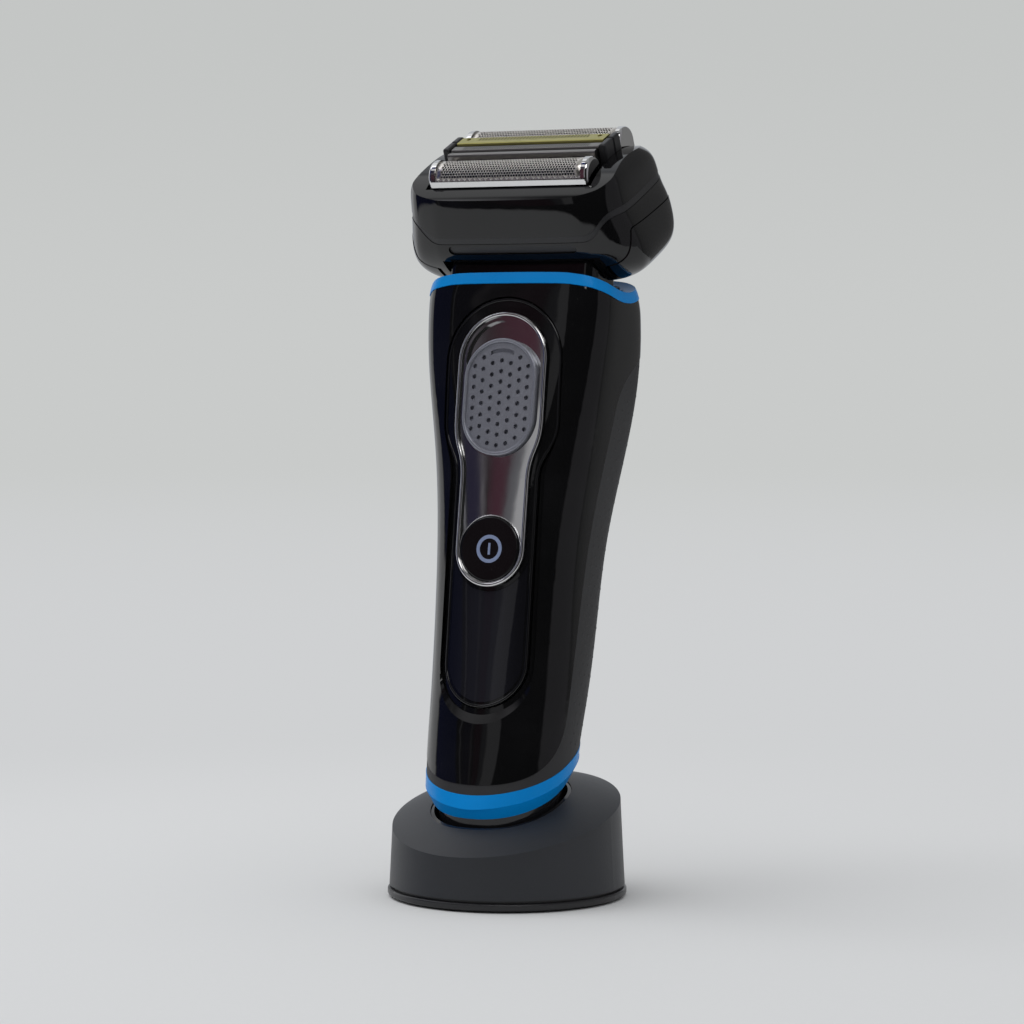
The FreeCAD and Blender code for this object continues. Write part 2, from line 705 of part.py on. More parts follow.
def power_button():
    top = FRONT - 0.3
    cap = rod(BUTTON_R, V(0, top, BUTTON_Z), V(0, top + 3.0, BUTTON_Z))
    rim = [e for e in cap.Edges if abs(e.BoundBox.YMax - top) < 0.01 and e.BoundBox.XLength > BUTTON_R]
    cap = cap.makeFillet(0.5, rim)
    stem = rod(2.0, V(0, top + 2.9, BUTTON_Z), V(0, BOARD_FRONT - 2.9, BUTTON_Z))
    return cap.fuse(stem).removeSplitter()


def power_icon():
    top = FRONT - 0.3
    near = V(0, top - ICON_T, BUTTON_Z)
    far = V(0, top, BUTTON_Z)
    ring = rod(ICON_R, near, far).cut(rod(ICON_R - ICON_LINE, near - V(0, 1, 0), far + V(0, 1, 0)))
    bar = block(-ICON_BAR_HALF_X, ICON_BAR_HALF_X, top - ICON_T, top,
                BUTTON_Z - ICON_BAR_HALF_Z, BUTTON_Z + ICON_BAR_HALF_Z)
    return group([ring, bar])


def circuit_board():
    behind = BOARD_FRONT + BOARD_T
    board = block(-10.5, 10.5, BOARD_FRONT, behind, 44, 130)
    chips = [
        block(-6, 1, behind, behind + 1.2, 110, 118),
        block(-4, 6, behind, behind + 1.0, 122, 127),
    ]
    return board.fuse(chips)


def power_switch():
    base = block(-3, 3, BOARD_FRONT - 1.6, BOARD_FRONT, BUTTON_Z - 3, BUTTON_Z + 3)
    plunger = rod(1.6, V(0, BOARD_FRONT - 1.8, BUTTON_Z), V(0, BOARD_FRONT - 1.6, BUTTON_Z))
    return base.fuse(plunger)


def battery():
    top = BATTERY_LOW + BATTERY_LONG
    can = rod(BATTERY_R, V(0, BATTERY_Y, BATTERY_LOW), V(0, BATTERY_Y, top))
    ends = [e for e in can.Edges if e.BoundBox.XLength > BATTERY_R and e.BoundBox.ZLength < 0.1]
    cap = rod(2.4, V(0, BATTERY_Y, top), V(0, BATTERY_Y, top + 1.2))
    return can.makeFillet(0.6, ends).fuse(cap)


def chassis():
    """Inner frame: a board carrier with a cradle for the battery and a seat for the neck."""
    low, high = 42.0, 133.5
    behind = BOARD_FRONT + BOARD_T
    battery_top = BATTERY_LOW + BATTERY_LONG
    spine = block(-12.5, 12.5, behind + 1.6, behind + 3.4, low, high)
    rails = [
        block(side * 11.6 - 0.9, side * 11.6 + 0.9, BOARD_FRONT - 0.6, behind + 2, low, high)
        for side in (-1, 1)
    ]
    cradles = [block(-9.2, 9.2, -4.4, 5.0, z, z + 3.0) for z in (BATTERY_LOW + 3, battery_top - 8)]
    deck = block(-17.0, 17.0, -9.8, 6.0, high - 2.5, high)
    frame = spine.fuse(rails + cradles + [deck])
    frame = frame.cut(rod(BATTERY_R + 0.15, V(0, BATTERY_Y, 0), V(0, BATTERY_Y, battery_top + 6)))
    frame = frame.common(handle_body(-HANDLE_WALL - 0.4)).cut(handle_screws())
    board_slot = block(-10.6, 10.6, BOARD_FRONT - 0.05, behind + 0.05, 0, FAR + 80)
    return frame.cut(board_slot).removeSplitter()


def neck():
    """Stem and drum that the head rocks on; the drum is placed by the head's own pivot."""
    low = 133.6
    pivot = HANDLE.inverse().multVec(HEAD.multVec(V(0, PIVOT_Y, PIVOT_Z)))
    stem = block(-NECK_HALF_X, NECK_HALF_X, NECK_FRONT, NECK_BACK, low, pivot.z)
    rounding = [e for e in stem.Edges if abs(e.tangentAt(0).z) > 0.9]
    stem = stem.makeFillet(2.5, rounding)
    drum = rod(DRUM_R, V(-NECK_HALF_X, pivot.y, pivot.z), V(NECK_HALF_X, pivot.y, pivot.z))
    foot = block(-22.0, 22.0, -12.6, 5.0, low, low + 2.2).common(handle_body(-HANDLE_WALL - 0.2))
    solid = stem.fuse([drum, foot]).removeSplitter()
    return solid.cut(rod(PIVOT_PIN_R + 0.02, V(-FAR, pivot.y, pivot.z), V(FAR, pivot.y, pivot.z)))


def pivot_pins():
    pivot = HANDLE.inverse().multVec(HEAD.multVec(V(0, PIVOT_Y, PIVOT_Z)))
    inner, outer = NECK_HALF_X - 7, NECK_HALF_X + 1.9
    return group([rod(PIVOT_PIN_R, V(side * inner, pivot.y, pivot.z), V(side * outer, pivot.y, pivot.z))
                  for side in (-1, 1)])


def neck_seal():
    """Soft oval ring that closes the gap between the neck and the collar."""
    low, high = 137.2, 145.6
    gap = SEAL_T + 0.15
    outer = block(-NECK_HALF_X - gap, NECK_HALF_X + gap, NECK_FRONT - gap, NECK_BACK + gap, low, high)
    outer = outer.makeFillet(2.6, [e for e in outer.Edges if abs(e.tangentAt(0).z) > 0.9])
    gap = 0.15
    inner = block(-NECK_HALF_X - gap, NECK_HALF_X + gap, NECK_FRONT - gap, NECK_BACK + gap, low - 1, high + 1)
    inner = inner.makeFillet(2.6, [e for e in inner.Edges if abs(e.tangentAt(0).z) > 0.9])
    return outer.cut(inner).cut(dish(DISH_R - 1.0)).common(handle_body(-HANDLE_WALL - 0.05))


def handle_screws():
    spots = [(-9.0, 46.0), (9.0, 46.0), (-14.0, 118.0), (14.0, 118.0)]
    return group([rod(1.0, V(x, -6.2, z), V(x, -1.8, z)) for x, z in spots])


def trimmer_carriage():
    """Back panel that slides up and carries the long-hair trimmer at its top edge."""
    panel = skin(0.35, -TRIM_T).common(block(-TRIM_HALF_X, TRIM_HALF_X, 0, FAR, TRIM_LOW, TRIM_HIGH - 2.4))
    ridges = [block(-7.0, 7.0, 0, FAR, z, z + 0.7) for z in (108.5, 110.5, 112.5, 114.5)]
    raised = skin(0.9, 0.2).common(group(ridges))
    return panel.fuse(raised)


def trimmer_comb():
    """Toothed steel plate along the carriage's top edge."""
    y = section_back(TRIM_HIGH)
    plate = block(-TRIM_HALF_X + 1, TRIM_HALF_X - 1, y - 0.4, y + 0.4, TRIM_HIGH - 2.35, TRIM_HIGH)
    gaps = [block(x - 0.3, x + 0.3, 0, FAR, TRIM_HIGH - 1.3, TRIM_HIGH + 1) for x in range(-9, 10)]
    return plate.cut(group(gaps))


def trimmer_cutter():
    y = section_back(TRIM_HIGH)
    plate = block(-TRIM_HALF_X + 2, TRIM_HALF_X - 2, y - 1.3, y - 0.45, TRIM_HIGH - 2.35, TRIM_HIGH - 0.2)
    gaps = [block(x + 0.2, x + 0.8, 0, FAR, TRIM_HIGH - 1.3, TRIM_HIGH + 1) for x in range(-9, 9)]
    return plate.cut(group(gaps))


def section_back(height):
    """Back of the handle at a height, read between its sections."""
    for (z0, _, _, back0, _), (z1, _, _, back1, _) in zip(HANDLE_SECTIONS, HANDLE_SECTIONS[1:]):
        if z0 <= height <= z1:
            return back0 + (back1 - back0) * (height - z0) / (z1 - z0)
    raise ValueError("no section at that height")


# ---- head --------------------------------------------------------------------------------------


def seam_region(drop, thick=FAR):
    """Slab above the cassette's seam (lowered by drop): straight at the sides, dipping in the middle."""
    side = SEAM_SIDE - drop
    mid = SEAM_MID - drop
    bend = (TONGUE_HALF + SHOULDER_HALF) / 2

    def step(sign, lift):
        curve = Part.BezierCurve()
        curve.setPoles([V(sign * SHOULDER_HALF, 0, side + lift), V(sign * bend, 0, side + lift),
                        V(sign * bend, 0, mid + lift), V(sign * TONGUE_HALF, 0, mid + lift)])
        return curve.toShape()

    def level(x0, x1, z0, z1):
        return Part.makeLine(V(x0, 0, z0), V(x1, 0, z1))

    low = [level(-FAR, -SHOULDER_HALF, side, side), step(-1, 0), level(-TONGUE_HALF, TONGUE_HALF, mid, mid),
           step(1, 0), level(SHOULDER_HALF, FAR, side, side)]
    if thick >= FAR:
        high = [level(-FAR, FAR, FAR, FAR)]
    else:
        high = [level(-FAR, -SHOULDER_HALF, side + thick, side + thick), step(-1, thick),
                level(-TONGUE_HALF, TONGUE_HALF, mid + thick, mid + thick), step(1, thick),
                level(SHOULDER_HALF, FAR, side + thick, side + thick)]
    top = FAR if thick >= FAR else side + thick
    ends = [level(-FAR, -FAR, side, top), level(FAR, FAR, side, top)]
    wire = Part.Wire(Part.__sortEdges__(low + high + ends))
    return front_prism(wire, -FAR, FAR)


def neck_slot():
    """Room for the drum and for the stem over the whole swing, in the head's own axes."""
    half = (NECK_BACK - NECK_FRONT) / 2 + 0.9
    pivot = V(0, PIVOT_Y, PIVOT_Z)
    stem_down = HEAD_TILT + HANDLE_LEAN
    front_turn = math.radians(stem_down + HEAD_FRONT_SWING)
    back_turn = math.radians(stem_down - HEAD_BACK_SWING)
    reach = 40.0

    def ray(turn, side):
        way = V(0, -math.sin(turn), -math.cos(turn))
        across = V(0, -math.cos(turn), math.sin(turn)) * (side * half)
        near = pivot + across
        return near, near + way * reach

    near_front, far_front = ray(front_turn, 1)
    near_back, far_back = ray(back_turn, -1)
    corners = [near_front, far_front, far_back, near_back]
    x = NECK_HALF_X + 0.35
    wire = Part.makePolygon([V(-x, p.y, p.z) for p in corners + corners[:1]])
    wedge = Part.Face(wire).extrude(V(2 * x, 0, 0))
    drum = rod(DRUM_R + 0.4, V(-x, PIVOT_Y, PIVOT_Z), V(x, PIVOT_Y, PIVOT_Z))
    return wedge.fuse(drum)


def release_region(grow, inward=0.0):
    """Outline of a release button in side view; inward leaves room for it to be pressed."""
    g = grow
    corners = ((-12.2 - g, 6.8 + g), (24.0, 5.2 + g), (24.0, -12.0), (-16.0 - g, -12.0), (-14.2 - g, 0.0))
    return side_prism(corners, 1.4, RELEASE_X - g - inward, FAR)


def head_housing():
    shell = head_body().cut(head_body(-HEAD_WALL))
    floor = head_body().common(block(-FAR, FAR, -FAR, FAR, -FAR, -6.4))
    plates = [
        block(side * 20.4 - 0.9, side * 20.4 + 0.9, -13.5, 11.0, -6.6, 9.0).common(head_body(-HEAD_WALL / 2))
        for side in (-1, 1)
    ]
    solid = shell.fuse([floor] + plates)
    solid = solid.cut(seam_region(BAND_T + 0.05))
    solid = solid.cut(neck_slot())
    solid = solid.cut(rod(PIVOT_PIN_R + 0.06, V(-FAR / 4, PIVOT_Y, PIVOT_Z), V(FAR / 4, PIVOT_Y, PIVOT_Z)))
    region = release_region(0.2, RELEASE_TRAVEL)
    solid = solid.cut(region).cut(mirrored(region))
    smile = front_prism(rounded_bar(INSERT_HALF, INSERT_LOW, INSERT_HIGH), -FAR, -8)
    return solid.cut(smile)


def rounded_bar(half, low, high):
    """Lying bar with round ends, drawn at y = 0."""
    r = (high - low) / 2 - 0.01
    return rounded([V(-half, 0, low), V(half, 0, low), V(half, 0, high), V(-half, 0, high)], r)


def head_insert():
    """Dark trim bar in the recess under the seam at the front."""
    bar = front_prism(rounded_bar(INSERT_HALF - 0.08, INSERT_LOW + 0.08, INSERT_HIGH - 0.08), -FAR, -8)
    return head_body(-0.5).cut(head_body(-HEAD_WALL)).common(bar)


def seam_band():
    return head_body(-0.12).cut(head_body(-HEAD_WALL)).common(seam_region(BAND_T, BAND_T - 0.05))


def release_button(side):
    cap = head_body(0.1).cut(head_body(-HEAD_WALL)).common(release_region(0))
    cap = cap.cut(seam_region(BAND_T + 0.3))
    return cap if side > 0 else mirrored(cap)


def drive_unit():
    """Linear motor block behind the pivot, with windows for the two drive arms."""
    block_back = block(-15.5, 15.5, 4.6, 13.5, -2.0, 11.6)
    solid = block_back.common(head_body(-HEAD_WALL - 0.5))
    for x in (-2.0, 10.0):
        solid = solid.cut(block(x - 4.0, x + 4.0, 6.2, 10.8, 6.0, 12.0))
    return solid


ARM_PLACES = {                   # place across, front and back of the arm, and where its pins stand
    "front": (-2.0, -11.2, 9.6, (-FOIL_OFFSET, -1.25)),
    "rear": (10.0, 1.4, 11.2, (FOIL_OFFSET, 2.7)),
}


def drive_arm(which):
    """Arm from the motor over the drum, with a pin for the cutter and one for the trimmer beside it."""
    x, y0, y1, pins = ARM_PLACES[which]
    plate = block(x - 3.0, x + 3.0, y0, y1, 12.9, 14.1)
    root = block(x - 1.8, x + 1.8, 7.0, 10.0, 7.0, 13.2)
    studs = [rod(DRIVE_PIN_R, V(x, y, 13.8), V(x, y, 16.6)) for y in pins]
    return plate.fuse([root] + studs).removeSplitter()


def cassette_frame():
    """Frame of the shaving cassette: solid shoulders, an open pocket and a ledge at each end of it."""
    solid = head_body().common(seam_region(0))
    solid = solid.cut(block(-POCKET_HALF_X, POCKET_HALF_X, POCKET_FRONT, POCKET_BACK, LEDGE_TOP, FAR))
    solid = solid.cut(block(-LEDGE_HALF_X, LEDGE_HALF_X, POCKET_FRONT, POCKET_BACK, -FAR, LEDGE_TOP))
    solid = solid.cut(block(-POCKET_HALF_X, POCKET_HALF_X, -FAR, FAR, WALL_TOP, FAR))
    x0, x1, y0, y1 = END_BLOCK
    seat = block(x0, x1, y0, y1, LEDGE_LOW, LEDGE_TOP)
    solid = solid.fuse([seat, mirrored(seat)])
    hollow = head_body(-HEAD_WALL).common(block(-FAR, FAR, -FAR, FAR, -FAR, 15.0))
    for side in (-1, 1):
        x = side * (LEDGE_HALF_X + 1.1)
        hollow = hollow.cut(block(x - 1.2, x + 1.2, -FAR, FAR, LEDGE_LOW, FAR))
    hollow = hollow.cut(group([seat, mirrored(seat)]))
    return solid.cut(hollow)


def end_block(side):
    """Dark block that holds the ends of the trimmers; a groove parts its two lobes."""
    x0, x1, y0, y1 = END_BLOCK
    top = 24.0
    solid = block(x0, x1, y0, y1, LEDGE_TOP + 0.05, top)
    solid = solid.makeFillet(0.6, [e for e in solid.Edges if e.BoundBox.ZMin > top - 0.1 or
                                   (e.BoundBox.XMin > x1 - 0.1 and e.BoundBox.YLength < 0.1)])
    middle = 1.6
    groove = rod(0.5, V(x1 + 0.1, middle, 0), V(x1 + 0.1, middle, FAR))
    solid = solid.cut(groove).cut(rod(0.45, V(x0 - 1, middle, top + 0.1), V(x1 + 1, middle, top + 0.1)))
    return solid if side > 0 else mirrored(solid)


def arch(radius, half_x, base, middle):
    """Solid with a half-round top and straight sides, lying along X."""
    top = rod(radius, V(-half_x, middle, FOIL_AXIS), V(half_x, middle, FOIL_AXIS))
    legs = block(-half_x, half_x, middle - radius, middle + radius, base, FOIL_AXIS)
    top = top.common(block(-FAR, FAR, -FAR, FAR, FOIL_AXIS, FAR))
    return top.fuse(legs).removeSplitter()


def foil(middle):
    outer = arch(FOIL_R, FOIL_HALF_X, FOIL_BASE + 0.2, middle)
    return outer.cut(arch(FOIL_R - FOIL_T, FAR, -FAR, middle))


def foil_frame(middle):
    """Frame with closed ends, rounded over, and a window that the foil shows through."""
    outer = arch(FOIL_FRAME_R, FOIL_FRAME_HALF_X, FOIL_BASE, middle)
    ends = [e for e in outer.Edges if e.BoundBox.XLength < 0.01 and e.BoundBox.ZLength > 1]
    outer = outer.makeFillet(0.8, ends)
    frame = outer.cut(arch(FOIL_R + 0.02, FOIL_FRAME_HALF_X - FOIL_FRAME_END, -FAR, middle))
    window = block(-FOIL_WINDOW, FOIL_WINDOW, middle - 9, middle + 9, FOIL_WINDOW_LOW, FAR)
    return frame.cut(window)


def cutter(middle, pin_x):
    """Under-foil cutter: thin arched blades on a common carrier."""
    solid = arch(CUTTER_R, CUTTER_HALF_X, CUTTER_BASE, middle)
    pitch = 1.1
    count = int(2 * CUTTER_HALF_X / pitch)
    start = -(count - 1) * pitch / 2
    slits = [
        block(start + i * pitch - 0.35, start + i * pitch + 0.35, middle - 9, middle + 9, 19.0, FAR)
        for i in range(count)
    ]
    solid = solid.cut(group(slits))
    play = 0.06
    slot = block(pin_x - DRIVE_PIN_R - play, pin_x + DRIVE_PIN_R + play, middle - 1.6, middle + 1.6, 0, 18.6)
    return solid.cut(slot)


def guard_bar():
    """Smooth steel bar with a row of long windows along its front."""
    bar = block(-TRIM_BAR_HALF_X, TRIM_BAR_HALF_X, -5.0, -3.1, 15.4, GUARD_TOP)
    rim = [e for e in bar.Edges if e.BoundBox.ZMin > GUARD_TOP - 0.1 and e.BoundBox.XLength > 9]
    bar = bar.makeFillet(0.6, rim)
    windows = []
    for x in range(-15, 18, 6):
        window = front_prism(rounded_bar(2.0, GUARD_TOP - 2.0, GUARD_TOP - 1.1), -9, -4.3)
        windows.append(window.translated(V(x, 0, 0)))
    return bar.cut(group(windows))


def trimmer_channel_bar(y0, y1, top):
    """Inverted channel that forms a trimmer's comb."""
    half_x = TRIM_BAR_HALF_X
    bar = block(-half_x, half_x, y0, y1, TRIM_BAR_BASE, top)
    rim = [e for e in bar.Edges if e.BoundBox.ZMin > top - 0.1 and e.BoundBox.XLength > 9]
    bar = bar.makeFillet(0.5, rim)
    return bar.cut(block(-half_x + 0.8, half_x - 0.8, y0 + 0.35, y1 - 0.35, -FAR, top - 0.5))


def slots(row, y, top):
    """Row of narrow slots across a comb's top, its middle at y."""
    count, pitch, half_x, half_y = row
    cuts = []
    for i in range(count):
        x = (i - (count - 1) / 2) * pitch
        cuts.append(block(x - half_x, x + half_x, y - half_y, y + half_y, top - 0.8, top + 1))
    return group(cuts)


def middle_trimmer():
    bar = trimmer_channel_bar(-2.6, 0.1, MIDDLE_TOP)
    return bar.cut(slots(MIDDLE_SLOTS, -1.25, MIDDLE_TOP))


def lift_trimmer():
    """Wide trimmer comb with slots along its rear half and a mark at each end of them."""
    bar = trimmer_channel_bar(0.6, 4.8, LIFT_TOP)
    marks = []
    for x in (-17.2, 17.2):
        mark = block(-0.5, 0.5, -0.5, 0.5, LIFT_TOP - 0.3, LIFT_TOP + 1)
        mark.rotate(V(0, 0, 0), V(0, 0, 1), 45)
        marks.append(mark.translated(V(x, 3.3, 0)))
    return bar.cut(slots(LIFT_SLOTS, 3.3, LIFT_TOP)).cut(group(marks))


def trimmer_blade(y0, y1, top, pin_x):
    """Moving blade inside a trimmer comb."""
    blade = block(-TRIM_BLADE_HALF_X, TRIM_BLADE_HALF_X, y0 + 0.5, y1 - 0.5, 16.9, top - 0.9)
    play = 0.06
    middle = (y0 + y1) / 2
    deep = min(1.6, (y1 - y0) / 2)
    slot_half = DRIVE_PIN_R + play
    return blade.cut(block(pin_x - slot_half, pin_x + slot_half, middle - deep, middle + deep, 0, 18.8))


def all_nodes():
    """Every node: its name, its shape and the axes it is drawn in."""
    front_x, rear_x = ARM_PLACES["front"][0], ARM_PLACES["rear"][0]
    nodes = [
        ("stand_housing", stand_housing(), STAND),
        ("stand_cup", stand_cup(), STAND),
        ("stand_base", stand_base(), STAND),
        ("non_slip_pad", non_slip_pad(), STAND),
        ("stand_screws", stand_screws(), STAND),
        ("ballast_plate", ballast(), STAND),
        ("stand_board", stand_board(), STAND),
        ("charge_post", charge_post(), STAND),
        ("power_inlet", power_inlet(), STAND),
        ("inlet_pins", inlet_pins(), STAND),
        ("front_shell", front_shell(), HANDLE),
        ("rear_grip", rear_grip(), HANDLE),
        ("top_collar", top_collar(), HANDLE),
        ("bottom_ring", bottom_ring(), HANDLE),
        ("bottom_cap", bottom_cap(), HANDLE),
        ("charge_socket", charge_socket(), HANDLE),
        ("front_panel", front_panel(), HANDLE),
        ("display_window", display_window(), HANDLE),
        ("chrome_bezel", bezel(), HANDLE),
        ("lock_slider", lock_slider(), HANDLE),
        ("lock_bolt", lock_bolt(), HANDLE),
        ("power_button", power_button(), HANDLE),
        ("power_icon", power_icon(), HANDLE),
        ("circuit_board", circuit_board(), HANDLE),
        ("power_switch", power_switch(), HANDLE),
        ("battery", battery(), HANDLE),
        ("inner_chassis", chassis(), HANDLE),
        ("neck", neck(), HANDLE),
        ("pivot_pins", pivot_pins(), HANDLE),
        ("neck_seal", neck_seal(), HANDLE),
        ("handle_screws", handle_screws(), HANDLE),
        ("trimmer_carriage", trimmer_carriage(), HANDLE),
        ("trimmer_comb", trimmer_comb(), HANDLE),
        ("trimmer_cutter", trimmer_cutter(), HANDLE),
        ("head_housing", head_housing(), HEAD),
        ("head_insert", head_insert(), HEAD),
        ("seam_band", seam_band(), HEAD),
        ("drive_unit", drive_unit(), HEAD),
        ("drive_arm_front", drive_arm("front"), HEAD),
        ("drive_arm_rear", drive_arm("rear"), HEAD),
        ("cassette_frame", cassette_frame(), HEAD),
        ("guard_bar", guard_bar(), HEAD),
        ("middle_trimmer", middle_trimmer(), HEAD),
        ("middle_trimmer_blade", trimmer_blade(-2.6, 0.1, MIDDLE_TOP, front_x), HEAD),
        ("lift_trimmer", lift_trimmer(), HEAD),
        ("lift_trimmer_blade", trimmer_blade(0.6, 4.8, LIFT_TOP, rear_x), HEAD),
    ]
    for side, word in ((-1, "left"), (1, "right")):
        nodes += [
            ("charge_pin_" + word, charge_pin(side), STAND),
            ("socket_sleeve_" + word, socket_sleeve(side), HANDLE),
            ("release_button_" + word, release_button(side), HEAD),
            ("end_block_" + word, end_block(side), HEAD),
        ]
    for middle, word, pin_x in ((-FOIL_OFFSET, "front", front_x), (FOIL_OFFSET, "rear", rear_x)):
        nodes += [
            ("foil_" + word, foil(middle), HEAD),
            ("foil_frame_" + word, foil_frame(middle), HEAD),
            ("cutter_" + word, cutter(middle, pin_x), HEAD),
        ]
    return nodes


os.makedirs("parts", exist_ok=True)
for name, shape, axes in all_nodes():
    finished = placed(shape, axes)
    finished.exportStep("parts/" + name + ".step")
    print(name, "solids", len(finished.Solids), "volume", round(finished.Volume, 1), finished.isValid())
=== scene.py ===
"""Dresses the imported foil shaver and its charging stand: finishes, fine pieces, stage, lamp and camera."""

import json
import math

import bmesh
import bpy
from bpy.props import FloatProperty, FloatVectorProperty, PointerProperty
from mathutils import Matrix, Vector
from mathutils.bvhtree import BVHTree


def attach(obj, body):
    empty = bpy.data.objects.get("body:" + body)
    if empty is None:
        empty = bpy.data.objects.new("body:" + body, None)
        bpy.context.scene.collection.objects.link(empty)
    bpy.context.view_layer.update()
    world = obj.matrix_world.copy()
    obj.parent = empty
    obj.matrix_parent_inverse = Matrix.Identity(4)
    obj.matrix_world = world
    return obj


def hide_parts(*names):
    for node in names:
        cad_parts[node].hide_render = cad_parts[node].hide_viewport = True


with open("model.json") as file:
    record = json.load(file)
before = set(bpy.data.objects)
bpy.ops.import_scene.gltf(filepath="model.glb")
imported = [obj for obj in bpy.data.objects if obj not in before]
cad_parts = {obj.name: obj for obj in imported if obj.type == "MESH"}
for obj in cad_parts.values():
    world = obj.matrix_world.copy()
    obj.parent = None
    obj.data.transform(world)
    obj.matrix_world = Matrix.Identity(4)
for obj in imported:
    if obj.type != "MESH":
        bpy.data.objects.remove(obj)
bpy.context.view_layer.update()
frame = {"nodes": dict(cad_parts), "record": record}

bl_info = {
    "name": "Foil shaver on a charging stand",
    "version": (1, 0, 0),
    "blender": (4, 5, 0),
    "location": "View3D > Sidebar > Shaver",
    "description": "Finishes and fine pieces for a foil shaver in its charging stand",
    "category": "Object",
}

MM = 0.001

# Axes that the handle and the head are drawn in: heights run along their own Z.
HANDLE_AXES = Matrix.Translation((0, -5.4 * MM, 0.6 * MM)) @ Matrix.Rotation(math.radians(-9), 4, "X")
HEAD_AXES = Matrix.Translation((0, 20.5 * MM, 153.8 * MM)) @ Matrix.Rotation(math.radians(24), 4, "X")
WORLD_AXES = Matrix.Identity(4)


# ---- shader maths ------------------------------------------------------------------------------


class Amount:
    """A number that varies over a surface; an expression on it adds its Math nodes."""

    def __init__(self, graph, socket):
        self.graph = graph
        self.socket = socket

    def math(self, operation, *others):
        """Adds a Math node with this amount as its first value."""
        values = dict(enumerate((self,) + others))
        return self.graph.amount("ShaderNodeMath", {"operation": operation}, values)

    def __add__(self, other):
        return self.math("ADD", other)

    def __sub__(self, other):
        return self.math("SUBTRACT", other)

    def __mul__(self, other):
        return self.math("MULTIPLY", other)

    def __abs__(self):
        return self.math("ABSOLUTE")

    def ramp(self, low, high):
        """0 below low, 1 above high and smooth between."""
        return self.graph.amount("ShaderNodeMapRange", {"interpolation_type": "SMOOTHSTEP"},
                                 {"Value": self, "From Min": low, "From Max": high})

    def between(self, low, high, soft):
        """1 between low and high, 0 outside them."""
        return self.ramp(low - soft, low + soft) - self.ramp(high - soft, high + soft)


class Graph:
    """A shader tree, with the few helpers that it is written with."""

    def __init__(self, owner):
        owner.use_nodes = True
        self.tree = owner.node_tree
        self.tree.nodes.clear()

    def node(self, kind, settings=None, values=None):
        """Adds a node: its settings first, then the values or links of its sockets."""
        made = self.tree.nodes.new(kind)
        for key, value in (settings or {}).items():
            setattr(made, key, value)
        for key, value in (values or {}).items():
            self.put(made.inputs[key], value)
        return made

    def put(self, socket, value):
        if isinstance(value, Amount):
            value = value.socket
        if isinstance(value, bpy.types.NodeSocket):
            self.tree.links.new(value, socket)
        else:
            socket.default_value = value

    def amount(self, kind, settings=None, values=None, output=0):
        return Amount(self, self.node(kind, settings, values).outputs[output])

    def mix(self, factor, first, second):
        """Colour between first, where factor is 0, and second, where it is 1."""
        return self.node("ShaderNodeMix", {"data_type": "RGBA"},
                         {0: factor, 6: first, 7: second}).outputs[2]

    def parts(self, vector):
        """The three numbers of a vector."""
        split = self.node("ShaderNodeSeparateXYZ", {}, {0: vector})
        return [Amount(self, output) for output in split.outputs]


class Finish(Graph):
    """A procedural material."""

    def __init__(self, name):
        self.material = bpy.data.materials.new(name)
        super().__init__(self.material)
        self.shader = self.node("ShaderNodeBsdfPrincipled")
        self.output = self.node("ShaderNodeOutputMaterial", {}, {"Surface": self.shader.outputs[0]})
        self.place = self.node("ShaderNodeTexCoord").outputs["Object"]

    def set(self, **values):
        for key, value in values.items():
            self.put(self.shader.inputs[key.replace("_", " ").title().replace("Ior", "IOR")], value)

    def scaled(self, factors):
        """Place on the surface, stretched along each axis."""
        return self.node("ShaderNodeVectorMath", {"operation": "MULTIPLY"},
                         {0: self.place, 1: factors}).outputs[0]

    def noise(self, scale, detail=2.0, place=None):
        return self.amount("ShaderNodeTexNoise", {},
                           {"Vector": place or self.place, "Scale": scale, "Detail": detail})

    def along(self, axes):
        """Coordinates of the surface in the given axes, in millimetres: three amounts."""
        turn = axes.inverted()
        moved = []
        for row in range(3):
            way = Vector(turn[row][:3]) / MM
            dot = self.amount("ShaderNodeVectorMath", {"operation": "DOT_PRODUCT"},
                              {0: self.place, 1: way}, output="Value")
            moved.append(dot + turn[row][3] / MM)
        return moved

    def bump(self, height, distance, strength):
        made = self.node("ShaderNodeBump", {}, {"Height": height, "Distance": distance, "Strength": strength})
        self.put(self.shader.inputs["Normal"], made.outputs[0])


def shade(value):
    return (value, value, value, 1.0)


def tint(colour, factor):
    return tuple(min(channel * factor, 1.0) for channel in colour[:3]) + (1.0,)


def lacquer(name, colour, roughness=0.05):
    """Deep glossy plastic: hardly any colour of its own, faint haze, dust and a slight flow."""
    f = Finish(name)
    haze = f.noise(60.0, 3.0).ramp(0.42, 0.75)
    specks = f.noise(2600.0, 1.0).ramp(0.80, 0.83)
    dust = f.mix(haze, tint(colour, 0.85), tint(colour, 1.3))
    f.set(base_color=f.mix(specks * 0.2, dust, shade(0.2)),
          roughness=haze * 0.02 + specks * 0.2 + roughness)
    f.set(specular_ior_level=0.5)
    f.bump(f.noise(240.0, 1.0), 0.00001, 0.35)
    return f.material


def satin(name, colour, roughness=0.38, grain=1800.0, depth=0.00004, spread=0.16, shine=0.5):
    """Moulded plastic with a fine grain and slight changes of shade."""
    f = Finish(name)
    broad = f.noise(70.0, 3.0)
    fine = f.noise(grain, 2.0)
    f.set(base_color=f.mix(broad * 0.6 + fine * 0.4, tint(colour, 1 - spread), tint(colour, 1 + spread)),
          roughness=fine * 0.12 + broad * 0.08 + (roughness - 0.1))
    f.set(specular_ior_level=shine)
    f.bump(fine, depth, 0.5)
    return f.material


